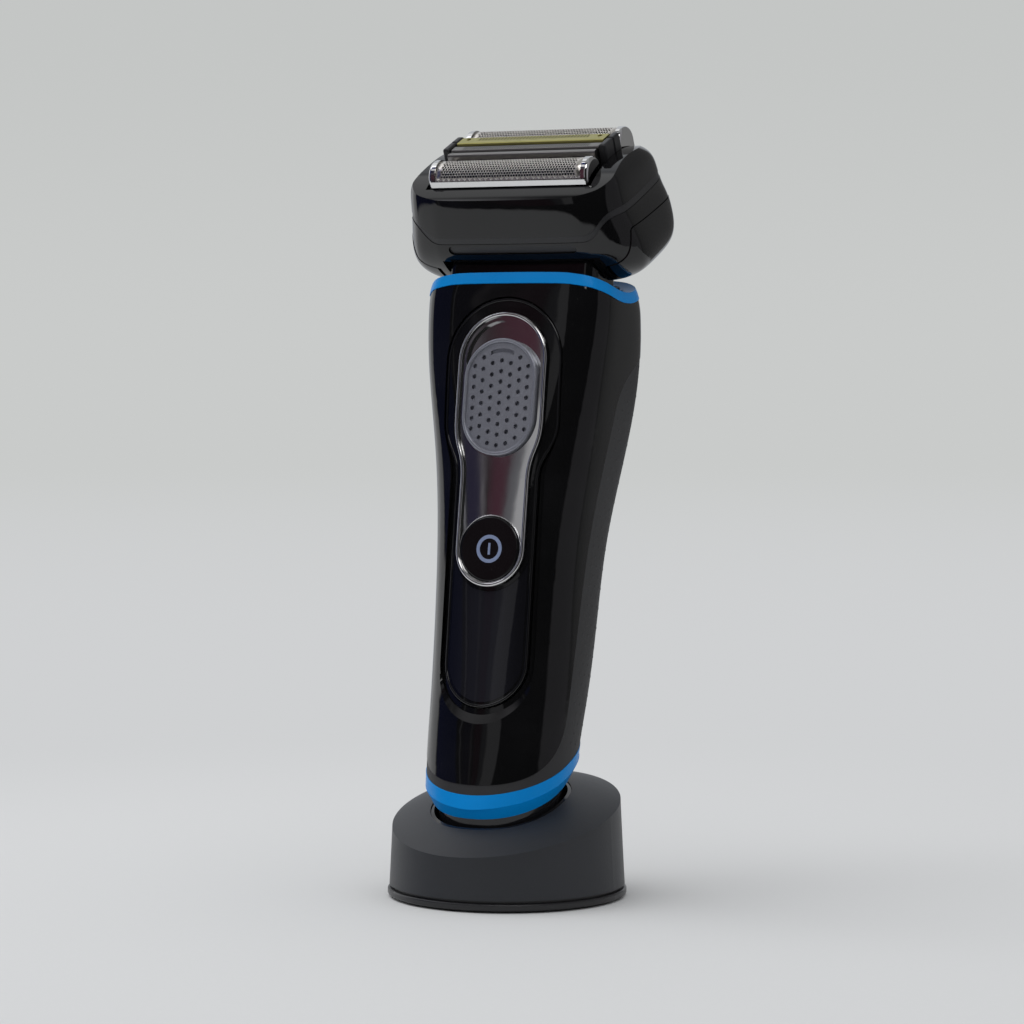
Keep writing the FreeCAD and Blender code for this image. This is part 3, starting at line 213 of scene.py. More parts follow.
def soft_grip(name, colour):
    """Matte rubber with a fine stipple and slight changes of shade."""
    f = Finish(name)
    fine = f.noise(3200.0, 2.0)
    broad = f.noise(55.0, 3.0)
    f.set(base_color=f.mix(broad, tint(colour, 0.8), tint(colour, 1.25)),
          roughness=fine * 0.14 + broad * 0.1 + 0.46)
    f.set(specular_ior_level=0.35)
    f.bump(fine, 0.00005, 0.5)
    return f.material


def polished(name, colour, roughness=0.05):
    """Plated mirror metal with hairline polishing marks and a few smears."""
    f = Finish(name)
    hair = f.noise(900.0, 2.0, f.scaled((1.0, 1.0, 0.06)))
    smear = f.noise(45.0, 3.0).ramp(0.4, 0.8)
    f.set(base_color=f.mix(smear, colour, tint(colour, 0.9)),
          roughness=hair * 0.05 + smear * 0.04 + roughness)
    f.set(metallic=1.0)
    f.bump(hair, 0.000004, 0.3)
    return f.material


def brushed(name, colour, roughness=0.28, stretch=(0.03, 1.0, 1.0), contrast=0.3):
    """Metal with fine marks, drawn out along the axis that stretch makes small."""
    f = Finish(name)
    hair = f.noise(2400.0, 3.0, f.scaled(stretch))
    broad = f.noise(80.0, 2.0)
    f.set(base_color=f.mix(hair * 0.7 + broad * 0.3, tint(colour, 1 - contrast), tint(colour, 1 + contrast)),
          roughness=hair * 0.16 + (roughness - 0.08))
    f.set(metallic=1.0)
    f.bump(hair, 0.00001, 0.4)
    return f.material


def silver_paint(name, colour):
    """Satin metallic paint with tiny flakes."""
    f = Finish(name)
    flakes = f.noise(5200.0, 1.0).ramp(0.45, 0.65)
    broad = f.noise(90.0, 2.0)
    f.set(base_color=f.mix(flakes * 0.6 + broad * 0.4, tint(colour, 0.86), tint(colour, 1.12)),
          roughness=flakes * 0.12 + 0.3, metallic=broad * 0.1 + 0.62)
    f.bump(flakes, 0.00001, 0.25)
    return f.material


def smoked(name, colour):
    """Dark window: a deep tint that darkens towards the sides, with a smooth face."""
    f = Finish(name)
    x = f.along(HANDLE_AXES)[0]
    depth = abs(x).ramp(2.0, 9.6)
    haze = f.noise(70.0, 2.0)
    f.set(base_color=f.mix(depth, tint(colour, 1.3), tint(colour, 0.6)), roughness=haze * 0.03 + 0.03)
    f.set(specular_ior_level=0.4)
    f.bump(haze, 0.000004, 0.2)
    return f.material


def printed(name, colour):
    """Printed sign: one tone, slightly uneven."""
    f = Finish(name)
    cloud = f.noise(1500.0, 2.0)
    f.set(base_color=f.mix(cloud, tint(colour, 0.85), tint(colour, 1.1)), roughness=cloud * 0.1 + 0.35)
    return f.material


FINISHES = {}

# Nodes whose finish differs from that of their slot: the steel cutters and blades under the foils' holes and
# the combs' slots get a dark finish, painted shade in place of their steel, and the foot cap takes the cup's
# black.
SPECIAL = {"cutter_front": "painted_shade_steel", "cutter_rear": "painted_shade_steel", "bottom_cap": "cup_black",
           "middle_trimmer_blade": "painted_shade_steel", "lift_trimmer_blade": "painted_shade_steel"}


def make_finishes(look):
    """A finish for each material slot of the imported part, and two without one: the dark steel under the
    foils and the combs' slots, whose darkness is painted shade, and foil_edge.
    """
    blue = tuple(look.blue) + (1.0,)
    gold = tuple(look.gold) + (1.0,)
    FINISHES.update({
        "charcoal_plastic": satin("stand charcoal", tuple(look.stand) + (1.0,), 0.46, 2600.0, 0.00005, 0.1),
        "gloss_black": lacquer("piano black", tuple(look.black) + (1.0,)),
        "cup_black": lacquer("cup black", (0.012, 0.012, 0.014, 1), 0.12),
        "smoked_window": smoked("smoked window", (0.009, 0.009, 0.012, 1)),
        "grip_rubber": soft_grip("grip rubber", (0.027, 0.027, 0.029, 1)),
        "blue_plastic": satin("blue trim", blue, 0.3, 2400.0, 0.00001, 0.08, 0.15),
        "chrome": polished("chrome", shade(0.78)),
        "satin_silver": silver_paint("satin silver", (0.34, 0.35, 0.40, 1)),
        "steel": brushed("blade steel", (0.30, 0.29, 0.28, 1), 0.32, (0.03, 1.0, 1.0), 0.12),
        # Steel with painted shade: dark, rough and hardly shiny, standing for the shade under the foils and
        # in the combs' slots.
        "painted_shade_steel": satin("steel with painted shade", (0.016, 0.016, 0.016, 1), 0.7, 900.0, 0.00001, 0.2, 0.05),
        "foil_steel": brushed("foil steel", (0.80, 0.76, 0.71, 1), 0.3, (0.2, 1.0, 1.0), 0.15),
        "foil_edge": brushed("foil edge", (0.92, 0.90, 0.88, 1), 0.24, (0.2, 1.0, 1.0), 0.08),
        "gold": brushed("gold coating", gold, 0.3, (0.05, 1.0, 1.0), 0.15),
        "dark_plastic": satin("dark plastic", (0.016, 0.016, 0.018, 1), 0.36, 1800.0, 0.00002, 0.2),
        "soft_seal": soft_grip("seal rubber", (0.012, 0.012, 0.013, 1)),
        "pad_rubber": soft_grip("pad rubber", (0.03, 0.03, 0.03, 1)),
        "circuit_green": satin("board green", (0.01, 0.12, 0.04, 1), 0.4, 900.0, 0.00002, 0.3),
        "battery_wrap": satin("battery wrap", (0.05, 0.12, 0.35, 1), 0.35, 700.0, 0.00001, 0.15),
        "contact_gold": brushed("contact gold", (0.80, 0.55, 0.20, 1), 0.25, (1.0, 1.0, 0.05), 0.12),
        "icon_light": printed("sign print", (0.20, 0.25, 0.40, 1)),
        "nylon": satin("nylon", (0.62, 0.61, 0.57, 1), 0.5, 1500.0, 0.00003, 0.08),
        "motor_grey": satin("motor grey", (0.16, 0.17, 0.18, 1), 0.42, 1300.0, 0.00003, 0.2),
        "ballast_iron": brushed("ballast iron", (0.22, 0.22, 0.22, 1), 0.5, (1.0, 1.0, 1.0), 0.35),
        "screw_steel": brushed("screw steel", (0.5, 0.5, 0.5, 1), 0.35, (1.0, 1.0, 0.1), 0.2),
    })


# ---- mesh helpers ------------------------------------------------------------------------------


def make_piece(name, points, faces, axes, body, slot, finish=None, smooth=True):
    """Mesh object from points in millimetres in the given axes, riding on a body, with a slot's finish."""
    mesh = bpy.data.meshes.new(name)
    mesh.from_pydata([axes @ (Vector(p) * MM) for p in points], [], faces)
    mesh.validate()
    mesh.polygons.foreach_set("use_smooth", [smooth] * len(mesh.polygons))
    made = bpy.data.objects.new(name, mesh)
    bpy.context.scene.collection.objects.link(made)
    mesh.materials.append(finish or FINISHES[slot])
    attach(made, body)
    return made


def face_outward(made):
    bm = bmesh.new()
    bm.from_mesh(made.data)
    bmesh.ops.recalc_face_normals(bm, faces=bm.faces)
    bm.to_mesh(made.data)
    bm.free()


def modifier(obj, kind, name, **settings):
    made = obj.modifiers.new(name, kind)
    for key, value in settings.items():
        setattr(made, key, value)
    return made


def surface_tree(node):
    """Search tree over a CAD node at rest, in the row frame."""
    mesh = frame["nodes"][node].data
    points = [v.co.copy() for v in mesh.vertices]
    return BVHTree.FromPolygons(points, [list(p.vertices) for p in mesh.polygons])


def swept_ring(centre, across, up, radius, section, steps):
    """Closed ring: section is a list of (outward, along the normal) offsets, in millimetres."""
    normal = across.cross(up)
    points = []
    faces = []
    count = len(section)
    for i in range(steps):
        turn = 2 * math.pi * i / steps
        out = across * math.cos(turn) + up * math.sin(turn)
        points += [centre + out * (radius + a) + normal * b for a, b in section]
        for j in range(count):
            k = (j + 1) % count
            n = (i + 1) % steps
            faces.append((i * count + j, i * count + k, n * count + k, n * count + j))
    return points, faces


# ---- pieces ------------------------------------------------------------------------------------


FOIL_MIDDLE = 9.7
FOIL_AXIS_Z = 19.3
FOIL_RADIUS = 3.9
FOIL_LOW_Z = 17.3
FOIL_HALF_X = 19.5
FOIL_THICK = 0.09
HOLES_HALF_X = 17.2              # how far the holes reach to each side
HOLES_START = 3.0                # way from the foil's foot to its first holes
STRIP_WAYS = (2.2, 2.45)         # ways from the foil's foot at which its plain edge strip starts
TOOTH_ROOT = 2.72
TOOTH_TIP = 3.35
STRIP_OVER = 0.05                # how far the strip lies over the foil's arch, and under it
STRIP_UNDER = 0.03


def foil_point(x, v, middle, lift=0.0):
    """Point of the arched foil: v is the way over it, from the foot of its front leg."""
    radius = FOIL_RADIUS + lift
    leg = FOIL_AXIS_Z - FOIL_LOW_Z
    arc = math.pi * FOIL_RADIUS
    if v < leg:
        return (x, middle - radius, FOIL_LOW_Z + v)
    if v > leg + arc:
        return (x, middle + radius, FOIL_AXIS_Z - (v - leg - arc))
    turn = (v - leg) / FOIL_RADIUS
    return (x, middle - radius * math.cos(turn), FOIL_AXIS_Z + radius * math.sin(turn))


def foil_sheet(pitch, web, hole_half_x, row_low):
    """Flat pattern of a perforated foil: staggered six-sided holes, plain ends and plain feet."""
    length = 2 * (FOIL_AXIS_Z - FOIL_LOW_Z) + math.pi * FOIL_RADIUS
    rise = pitch * math.sqrt(3) / 2
    rows = int((length - 2 * row_low) / rise)
    start = (length - (rows - 1) * rise) / 2
    columns = int(2 * hole_half_x / pitch)
    radius = pitch / math.sqrt(3)
    points = []
    index = {}
    faces = []

    def vertex(x, v):
        key = (round(x, 4), round(v, 4))
        if key not in index:
            index[key] = len(points)
            points.append(key)
        return index[key]

    for row in range(rows):
        shift = pitch / 2 if row % 2 else 0.0
        for column in range(columns + (0 if row % 2 else 1)):
            x = -columns * pitch / 2 + column * pitch + shift
            v = start + row * rise
            corners = [(math.sin(math.pi * k / 3), math.cos(math.pi * k / 3)) for k in range(6)]
            outer = [vertex(x + radius * a, v + radius * b) for a, b in corners]
            inner = [vertex(x + (radius - web) * a, v + (radius - web) * b) for a, b in corners]
            for k in range(6):
                n = (k + 1) % 6
                faces.append((outer[k], outer[n], inner[n], inner[k]))
    # plain edges: rows and ends are filled out to the sheet's outline
    for row in range(rows):
        odd = row % 2 == 1
        v = start + row * rise
        for side in (-1, 1):
            edge = side * (columns * pitch / 2 + (0.0 if odd else pitch / 2))
            low, high = v - radius / 2, v + radius / 2
            out = side * FOIL_HALF_X
            faces.append((vertex(edge, low), vertex(out, low), vertex(out, high), vertex(edge, high)))
            if row + 1 < rows:
                other = side * (columns * pitch / 2 + (pitch / 2 if odd else 0.0))
                top = v + rise - radius / 2
                faces.append((vertex(edge, high), vertex(out, high), vertex(out, top), vertex(other, top)))
    for row, end, sign in ((0, 0.0, -1), (rows - 1, length, 1)):
        odd = row % 2 == 1
        v = start + row * rise
        count = columns + (0 if odd else 1)
        first = -columns * pitch / 2 + (pitch / 2 if odd else 0.0)
        for column in range(count):
            x = first + column * pitch
            a = (x - pitch / 2, v + sign * radius / 2)
            b = (x, v + sign * radius)
            c = (x + pitch / 2, v + sign * radius / 2)
            faces.append((vertex(*a), vertex(*b), vertex(x, end), vertex(a[0], end)))
            faces.append((vertex(*b), vertex(*c), vertex(c[0], end), vertex(x, end)))
        for side in (-1, 1):
            edge = first - pitch / 2 if side < 0 else first + (count - 1) * pitch + pitch / 2
            out = side * FOIL_HALF_X
            z = v + sign * radius / 2
            faces.append((vertex(edge, z), vertex(out, z), vertex(out, end), vertex(edge, end)))
    return points, faces


def foil_piece(look, word, middle):
    """Perforated foil over its cutter, with its edge strips."""
    flat, faces = foil_sheet(look.foil_pitch / MM, look.foil_web / MM, HOLES_HALF_X, HOLES_START)
    points = [foil_point(x, v, middle) for x, v in flat]
    made = make_piece("foil_mesh_" + word, points, faces, HEAD_AXES, "foil_set_" + word, "foil_steel")
    face_outward(made)
    modifier(made, "SOLIDIFY", "foil thickness", thickness=FOIL_THICK * MM, offset=-1.0)
    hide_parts("foil_" + word)
    foil_teeth(look, word, middle)


def foil_teeth(look, word, middle):
    """Plain edge strips of the foil, which end in a zigzag where the holes begin."""
    length = 2 * (FOIL_AXIS_Z - FOIL_LOW_Z) + math.pi * FOIL_RADIUS
    pitch = look.tooth_pitch / MM
    count = int(2 * FOIL_HALF_X / pitch)
    points = []
    faces = []
    for side in (0, 1):
        for k in range(2 * count + 1):
            x = (k / 2 - count / 2) * pitch
            tip = TOOTH_TIP if k % 2 else TOOTH_ROOT
            base = len(points)
            for v in STRIP_WAYS + (tip,):
                way = length - v if side else v
                points += [foil_point(x, way, middle, STRIP_OVER), foil_point(x, way, middle, -STRIP_UNDER)]
            if k:
                for a, b in ((0, 2), (2, 4), (3, 1), (5, 3), (4, 5)):
                    faces.append((base + a, base + b, base + b - 6, base + a - 6))
    made = make_piece("foil_teeth_" + word, points, faces, HEAD_AXES, "foil_set_" + word, "foil_steel",
                      FINISHES["foil_edge"], smooth=False)
    face_outward(made)


DOT_ROWS = 64
DOT_COLUMNS = 14                 # columns to each side of the middle one
DOT_TURN = 9.0                   # degrees round the handle's axis from one column to the next
DOT_FIRST_Z = 36.0
DOT_LOW_Z = 34
DOT_HIGH_Z = 126
DOT_RAY_START = 40               # how far from the handle's axis the search for the surface starts
DOT_FROM_SEAM = 2.2              # width of the strip without dots behind the grip's seam
DOT_SINK = 0.03                  # how deep the foot of a dot lies in the rubber

# A dot is left out where the surface ends or steps, 1.6 mm above or below it. The step is in metres.
DOT_EDGE_TEST = 1.6
DOT_EDGE_STEP = 0.0006


def grip_dots(look):
    """Small raised domes in staggered rows over the rubber back and sides."""
    tree = surface_tree("rear_grip")
    radius = look.dot_size / 2 / MM
    points = []
    faces = []
    segments = 10
    profile = ((1.0, 0.0), (0.82, 0.42), (0.45, 0.82))
    for row in range(DOT_ROWS):
        z = DOT_FIRST_Z + row * look.dot_rise / MM / 2
        for column in range(-DOT_COLUMNS, DOT_COLUMNS + 1):
            turn = math.radians(column * DOT_TURN + (DOT_TURN / 2 if row % 2 else 0.0))
            out = (DOT_RAY_START * math.sin(turn), DOT_RAY_START * math.cos(turn), z)
            start = HANDLE_AXES @ (Vector(out) * MM)
            way = (HANDLE_AXES @ (Vector((0, 0, z)) * MM) - start).normalized()
            spot, normal, _, distance = tree.ray_cast(start, way, 0.05)
            if spot is None or normal.dot(way) > -0.5:
                continue
            local = HANDLE_AXES.inverted() @ spot / MM
            shifts = [HANDLE_AXES.to_3x3() @ Vector((0, 0, side * DOT_EDGE_TEST * MM)) for side in (1, -1)]
            around = [tree.ray_cast(start + shift, way, 0.05)[3] for shift in shifts]
            if any(reach is None or abs(reach - distance) > DOT_EDGE_STEP for reach in around):
                continue
            seam = -6.3 + 6.3 * (local.z - 31.5) / 88.0
            if local.y < seam + DOT_FROM_SEAM or local.z > DOT_HIGH_Z or local.z < DOT_LOW_Z:
                continue
            across = normal.cross(Vector((0, 0, 1))).normalized()
            up = normal.cross(across)
            base = len(points)
            for scale, lift in profile:
                for k in range(segments):
                    a = 2 * math.pi * k / segments
                    at = spot + (across * math.cos(a) + up * math.sin(a)) * (radius * scale * MM)
                    at += normal * ((lift * look.dot_height / MM - DOT_SINK) * MM)
                    points.append(at / MM)
            points.append((spot + normal * ((look.dot_height / MM - DOT_SINK) * MM)) / MM)
            top = len(points) - 1
            for ring in range(len(profile) - 1):
                for k in range(segments):
                    n = (k + 1) % segments
                    faces.append((base + ring * segments + k, base + ring * segments + n,
                                  base + (ring + 1) * segments + n, base + (ring + 1) * segments + k))
            last = base + (len(profile) - 1) * segments
            faces += [(last + k, last + (k + 1) % segments, top) for k in range(segments)]
    if not points:
        raise RuntimeError("no place was found for the grip's dots")
    make_piece("grip_dots", points, faces, WORLD_AXES, "handle", "grip_rubber")


# Slots of the two combs: body, count, pitch, half width, half length, place front to back, height
COMB_SLOTS = (
    ("middle_comb", 59, 0.56, 0.10, 0.95, -1.25, 23.44),
    ("lift_comb", 35, 0.834, 0.16, 0.75, 3.3, 23.84),
)
# Depth of the dark floors of painted shade under the combs' tops
COMB_PAINTED_SHADE_DEEP = 0.15


def paint_comb_slot_shade():
    """Painted shade: dark floors inside the slots of the two trimmer combs, just under their tops, where the
    slots lie in shade.
    """
    for body, count, pitch, half_x, half_y, y, top in COMB_SLOTS:
        points = []
        faces = []
        for k in range(count):
            x = (k - (count - 1) / 2) * pitch
            base = len(points)
            for z in (top - COMB_PAINTED_SHADE_DEEP, top):
                points += [(x - half_x, y - half_y, z), (x + half_x, y - half_y, z),
                           (x + half_x, y + half_y, z), (x - half_x, y + half_y, z)]
            sides = [(a, (a + 1) % 4, (a + 1) % 4 + 4, a + 4) for a in range(4)]
            faces += [tuple(base + i for i in face) for face in [(3, 2, 1, 0), (4, 5, 6, 7)] + sides]
        make_piece(body + "_painted_shade", points, faces, HEAD_AXES, body, "dark_plastic", FINISHES["painted_shade_steel"],
                   smooth=False)


# Heights on the handle's front
LOBE_Z = 123.0
SHOULDER_Z = 109.5
WAIST_Z = 95.0
BUTTON_Z = 79.2
PANEL_LOW_Z = 53.2

# Radius of the ring round the power button, and its place front to back
BUTTON_RING_R = 7.75
BUTTON_RING_Y = -15.9


def keyhole_line(top, low, low_z):
    """Outline of the bezel or the panel, as (x, z): a round upper lobe that narrows to a round end."""
    lobe, shoulder, waist = LOBE_Z, SHOULDER_Z, WAIST_Z
    middle = (shoulder + waist) / 2
    left = [(-top, shoulder + (lobe - shoulder) * k / 8) for k in range(8, 0, -1)]
    for k in range(24):
        t = k / 24
        near, far = (1 - t) ** 3 + 3 * t * (1 - t) ** 2, t ** 3 + 3 * t ** 2 * (1 - t)
        z = (1 - t) ** 3 * shoulder + 3 * t * (1 - t) * middle + t ** 3 * waist
        left.append((-top * near - low * far, z))
    steps = max(int((waist - low_z) / 1.5), 1)
    left += [(-low, waist + (low_z - waist) * k / steps) for k in range(steps)]
    left += [(-low * math.cos(a), low_z - low * math.sin(a)) for a in [math.pi * k / 48 for k in range(24)]]
    right = [(-x, z) for x, z in reversed(left)]
    crown = [(top * math.cos(a), lobe + top * math.sin(a)) for a in [math.pi * k / 48 for k in range(1, 48)]]
    return left + [(0.0, low_z - low)] + right + crown


def stadium_line(half, low, high):
    """Outline with straight sides and round ends, as (x, z)."""
    line = []
    for centre, start in ((high - half, 0.0), (low + half, math.pi)):
        turns = [start + math.pi * k / 36 for k in range(37)]
        line += [(half * math.cos(a), centre + half * math.sin(a)) for a in turns]
        side = half * math.cos(start + math.pi)
        other = low + half if start == 0.0 else high - half
        line += [(side, centre + (other - centre) * k / 12) for k in range(1, 12)]
    return line


def bead(name, line, node, body, slot, half, tall):
    """Half-round bead laid along an outline on a CAD node's front, seen along Y in the handle's axes."""
    tree = surface_tree(node)
    ahead = HANDLE_AXES.to_3x3() @ Vector((0, 1, 0))
    spots = []
    for x, z in line:
        spot, normal, _, _ = tree.ray_cast(HANDLE_AXES @ (Vector((x, -40, z)) * MM), ahead, 0.06)
        if spot is None:
            raise RuntimeError(name + " leaves the surface of " + node)
        spots.append((spot / MM, normal))
    points = []
    faces = []
    turns = (-0.25, 0.0, 0.2, 0.4, 0.6, 0.8, 1.0, 1.25)
    count = len(spots)
    for i, (spot, normal) in enumerate(spots):
        way = (spots[(i + 1) % count][0] - spots[i - 1][0]).normalized()
        across = way.cross(normal).normalized()
        up = across.cross(way)
        for turn in turns:
            a = math.pi * turn
            points.append(spot + across * (half * math.cos(a)) + up * (tall * math.sin(a)))
        for j in range(len(turns)):
            k = (j + 1) % len(turns)
            n = (i + 1) % count
            faces.append(tuple(m * len(turns) + s for m, s in ((i, j), (i, k), (n, k), (n, j))))
    made = make_piece(name, points, faces, WORLD_AXES, body, slot)
    face_outward(made)


def front_beads():
    """Chrome edge of the bezel, raised edge of the lock slider and rounded edge of the black panel."""
    bead("bezel_bead", keyhole_line(10.95, 8.35, BUTTON_Z), "chrome_bezel", "handle", "chrome", 0.42, 0.32)
    bead("slider_bead", stadium_line(8.9, 101.25, 127.75), "lock_slider", "lock_slide", "satin_silver",
         0.42, 0.22)
    bead("panel_bead", keyhole_line(14.45, 10.25, PANEL_LOW_Z), "front_panel", "handle", "gloss_black",
         0.34, 0.24)


def button_ring():
    """Thin bright ring in the gap round the power button."""
    section = [(-0.12, 0.0), (-0.06, 0.22), (0.06, 0.30), (0.17, 0.22), (0.20, 0.0),
               (0.10, -0.6), (-0.08, -0.6)]
    points, faces = swept_ring(Vector((0, BUTTON_RING_Y, BUTTON_Z)), Vector((1, 0, 0)), Vector((0, 0, 1)),
                               BUTTON_RING_R, section, 96)
    make_piece("button_ring", points, faces, HANDLE_AXES, "handle", "chrome")


# ---- stage -------------------------------------------------------------------------------------


def shone(graph):
    """Two amounts: 1 for what the camera sees at once, and 1 for what a shiny surface mirrors."""
    path = graph.node("ShaderNodeLightPath")
    return Amount(graph, path.outputs["Is Camera Ray"]), Amount(graph, path.outputs["Is Glossy Ray"])


FRONT_WAY = (0.454, -0.891)      # from the object towards the camera, seen from above


def studio_floor(look):
    """Wide pale sheet: lit near the object. Further off the camera sees it in an even tone, and what shines
    mirrors the surround instead of it."""
    half = 25.0
    mesh = bpy.data.meshes.new("studio_floor")
    corners = [(-half, -half, 0), (half, -half, 0), (half, half, 0), (-half, half, 0)]
    mesh.from_pydata(corners, [], [(0, 1, 2, 3)])
    floor = bpy.data.objects.new("studio_floor", mesh)
    bpy.context.scene.collection.objects.link(floor)
    f = Finish("studio paper")
    paper = tuple(look.paper) + (1.0,)
    fine = f.noise(700.0, 2.0)
    f.set(base_color=f.mix(fine, tint(paper, 0.985), tint(paper, 1.015)), roughness=fine * 0.1 + 0.75)
    f.set(specular_ior_level=0.1)
    x, y, _ = f.parts(f.place)
    reach = (x * x + y * y).math("SQRT")
    front = x * FRONT_WAY[0] + y * FRONT_WAY[1]
    seen, mirrored = shone(f)
    far = reach.ramp(0.11, 0.34)
    edge = front.ramp(look.table_reach - 0.01, look.table_reach + 0.01)
    edge = edge.math("MAXIMUM", reach.ramp(0.5, 0.7))
    tone = f.mix(reach.ramp(0.5, 3.0), paper, tuple(look.horizon) + (1.0,))
    even = f.node("ShaderNodeEmission", {}, {"Color": tone}).outputs[0]
    clear = f.node("ShaderNodeBsdfTransparent").outputs[0]
    lit = f.node("ShaderNodeMixShader", {}, {0: seen * far, 1: f.shader.outputs[0], 2: even}).outputs[0]
    whole = f.node("ShaderNodeMixShader", {}, {0: mirrored * edge, 1: lit, 2: clear}).outputs[0]
    f.put(f.output.inputs["Surface"], whole)
    mesh.materials.append(f.material)


def aim(obj, target):
    way = Vector(target) - obj.location
    obj.rotation_euler = way.to_track_quat("-Z", "Y").to_euler()


def lamp(name, place, target, size, power):
    """Square soft lamp that lights the object but is not mirrored in it."""
    data = bpy.data.lights.new(name, "AREA")
    data.size = size
    data.energy = power
    made = bpy.data.objects.new(name, data)
    bpy.context.scene.collection.objects.link(made)
    made.location = place
    made.visible_glossy = False
    aim(made, target)


# What shiny surfaces mirror: (azimuth from, to, height from, to, softness, colour). Degrees; azimuth 0 is
# straight in front of the object and grows towards its left hand, +X.
SURROUND = (
    (-128, -86, -90, 90, 3.0, (0.85, 0.86, 0.87)),
    (-200, -128, -90, 90, 4.0, (0.55, 0.57, 0.60)),
    (66, 122, -90, 90, 3.0, (0.25, 0.245, 0.26)),
    (122, 200, -90, 90, 10.0, (0.19, 0.19, 0.19)),
    (-84, -45, -25, 60, 2.0, (0.013, 0.021, 0.095)),
    (-40.6, -39.4, -25, 60, 0.6, (0.22, 0.22, 0.24)),
    (-38, -31, -25, 60, 1.5, (0.02, 0.018, 0.035)),
    (-31.4, -30.6, -5, 40, 0.6, (0.16, 0.15, 0.16)),
    (-29, -24.5, -25, 60, 1.2, (0.055, 0.022, 0.032)),
    (-24.5, -21, -25, 60, 1.0, (0.10, 0.10, 0.11)),
    (-21, -7, -25, 60, 1.0, (0.32, 0.32, 0.33)),
    (-200, 200, 68, 100, 6.0, (0.30, 0.31, 0.31)),
    (-46, -10, 41, 52, 2.0, (0.72, 0.71, 0.73)),
    (12, 50, 34, 56, 2.0, (3.2, 3.2, 3.2)),
    (-84, -62, 40, 62, 2.0, (2.0, 2.0, 2.1)),
)


def studio_world(look):
    """Soft surround for light, brighter above; what shines mirrors a dark room with the SURROUND patches."""
    world = bpy.data.worlds.new("studio")
    bpy.context.scene.world = world
    g = Graph(world)
    x, y, z = g.parts(g.node("ShaderNodeTexCoord").outputs["Generated"])
    azimuth = x.math("ARCTAN2", y * -1) * math.degrees(1)
    height = z.math("ARCSINE") * math.degrees(1)
    room = shade(look.front_dark)
    for low, high, bottom, top, soft, colour in SURROUND:
        patch = azimuth.between(low, high, soft) * height.between(bottom, top, soft)
        room = g.mix(patch, room, colour + (1.0,))
    seen, mirrored = shone(g)
    above = z.ramp(0.0, 1.0)
    soft = g.mix(above, shade(look.soft_light * 0.5), shade(look.soft_light * 1.4))
    colour = g.mix(mirrored, soft, room)
    sky = g.mix(z.ramp(0.0, 0.1), tuple(look.horizon) + (1.0,), tuple(look.backdrop) + (1.0,))
    colour = g.mix(seen, colour, sky)
    background = g.node("ShaderNodeBackground", {}, {"Color": colour})
    g.node("ShaderNodeOutputWorld", {}, {"Surface": background.outputs[0]})


CAMERA_LENS = 117.11
CAMERA_AZIMUTH = 27.0            # degrees round from the object's front towards its left hand
CAMERA_REACH = 0.77409
CAMERA_HEIGHT = 0.12730
CAMERA_TURN = 0.0839             # degrees that it looks to the right of the stand's middle
CAMERA_DIP = 2.798               # degrees below level


def studio_camera():
    """In front of the object and a little to its left, on the level of the handle's upper part."""
    data = bpy.data.cameras.new("camera")
    data.sensor_width = 36.0
    data.lens = CAMERA_LENS
    data.clip_end = 100.0
    made = bpy.data.objects.new("camera", data)
    bpy.context.scene.collection.objects.link(made)
    azimuth = math.radians(CAMERA_AZIMUTH)
    right = Vector((math.cos(azimuth), math.sin(azimuth), 0))
    ahead = Vector((-math.sin(azimuth), math.cos(azimuth), 0))
    made.location = -ahead * CAMERA_REACH + Vector((0, 0, CAMERA_HEIGHT))
    look = ahead + right * math.tan(math.radians(CAMERA_TURN))
    look.z = -math.tan(math.radians(CAMERA_DIP))
    made.rotation_euler = look.to_track_quat("-Z", "Y").to_euler()
    bpy.context.scene.camera = made


# ---- add-on ------------------------------------------------------------------------------------


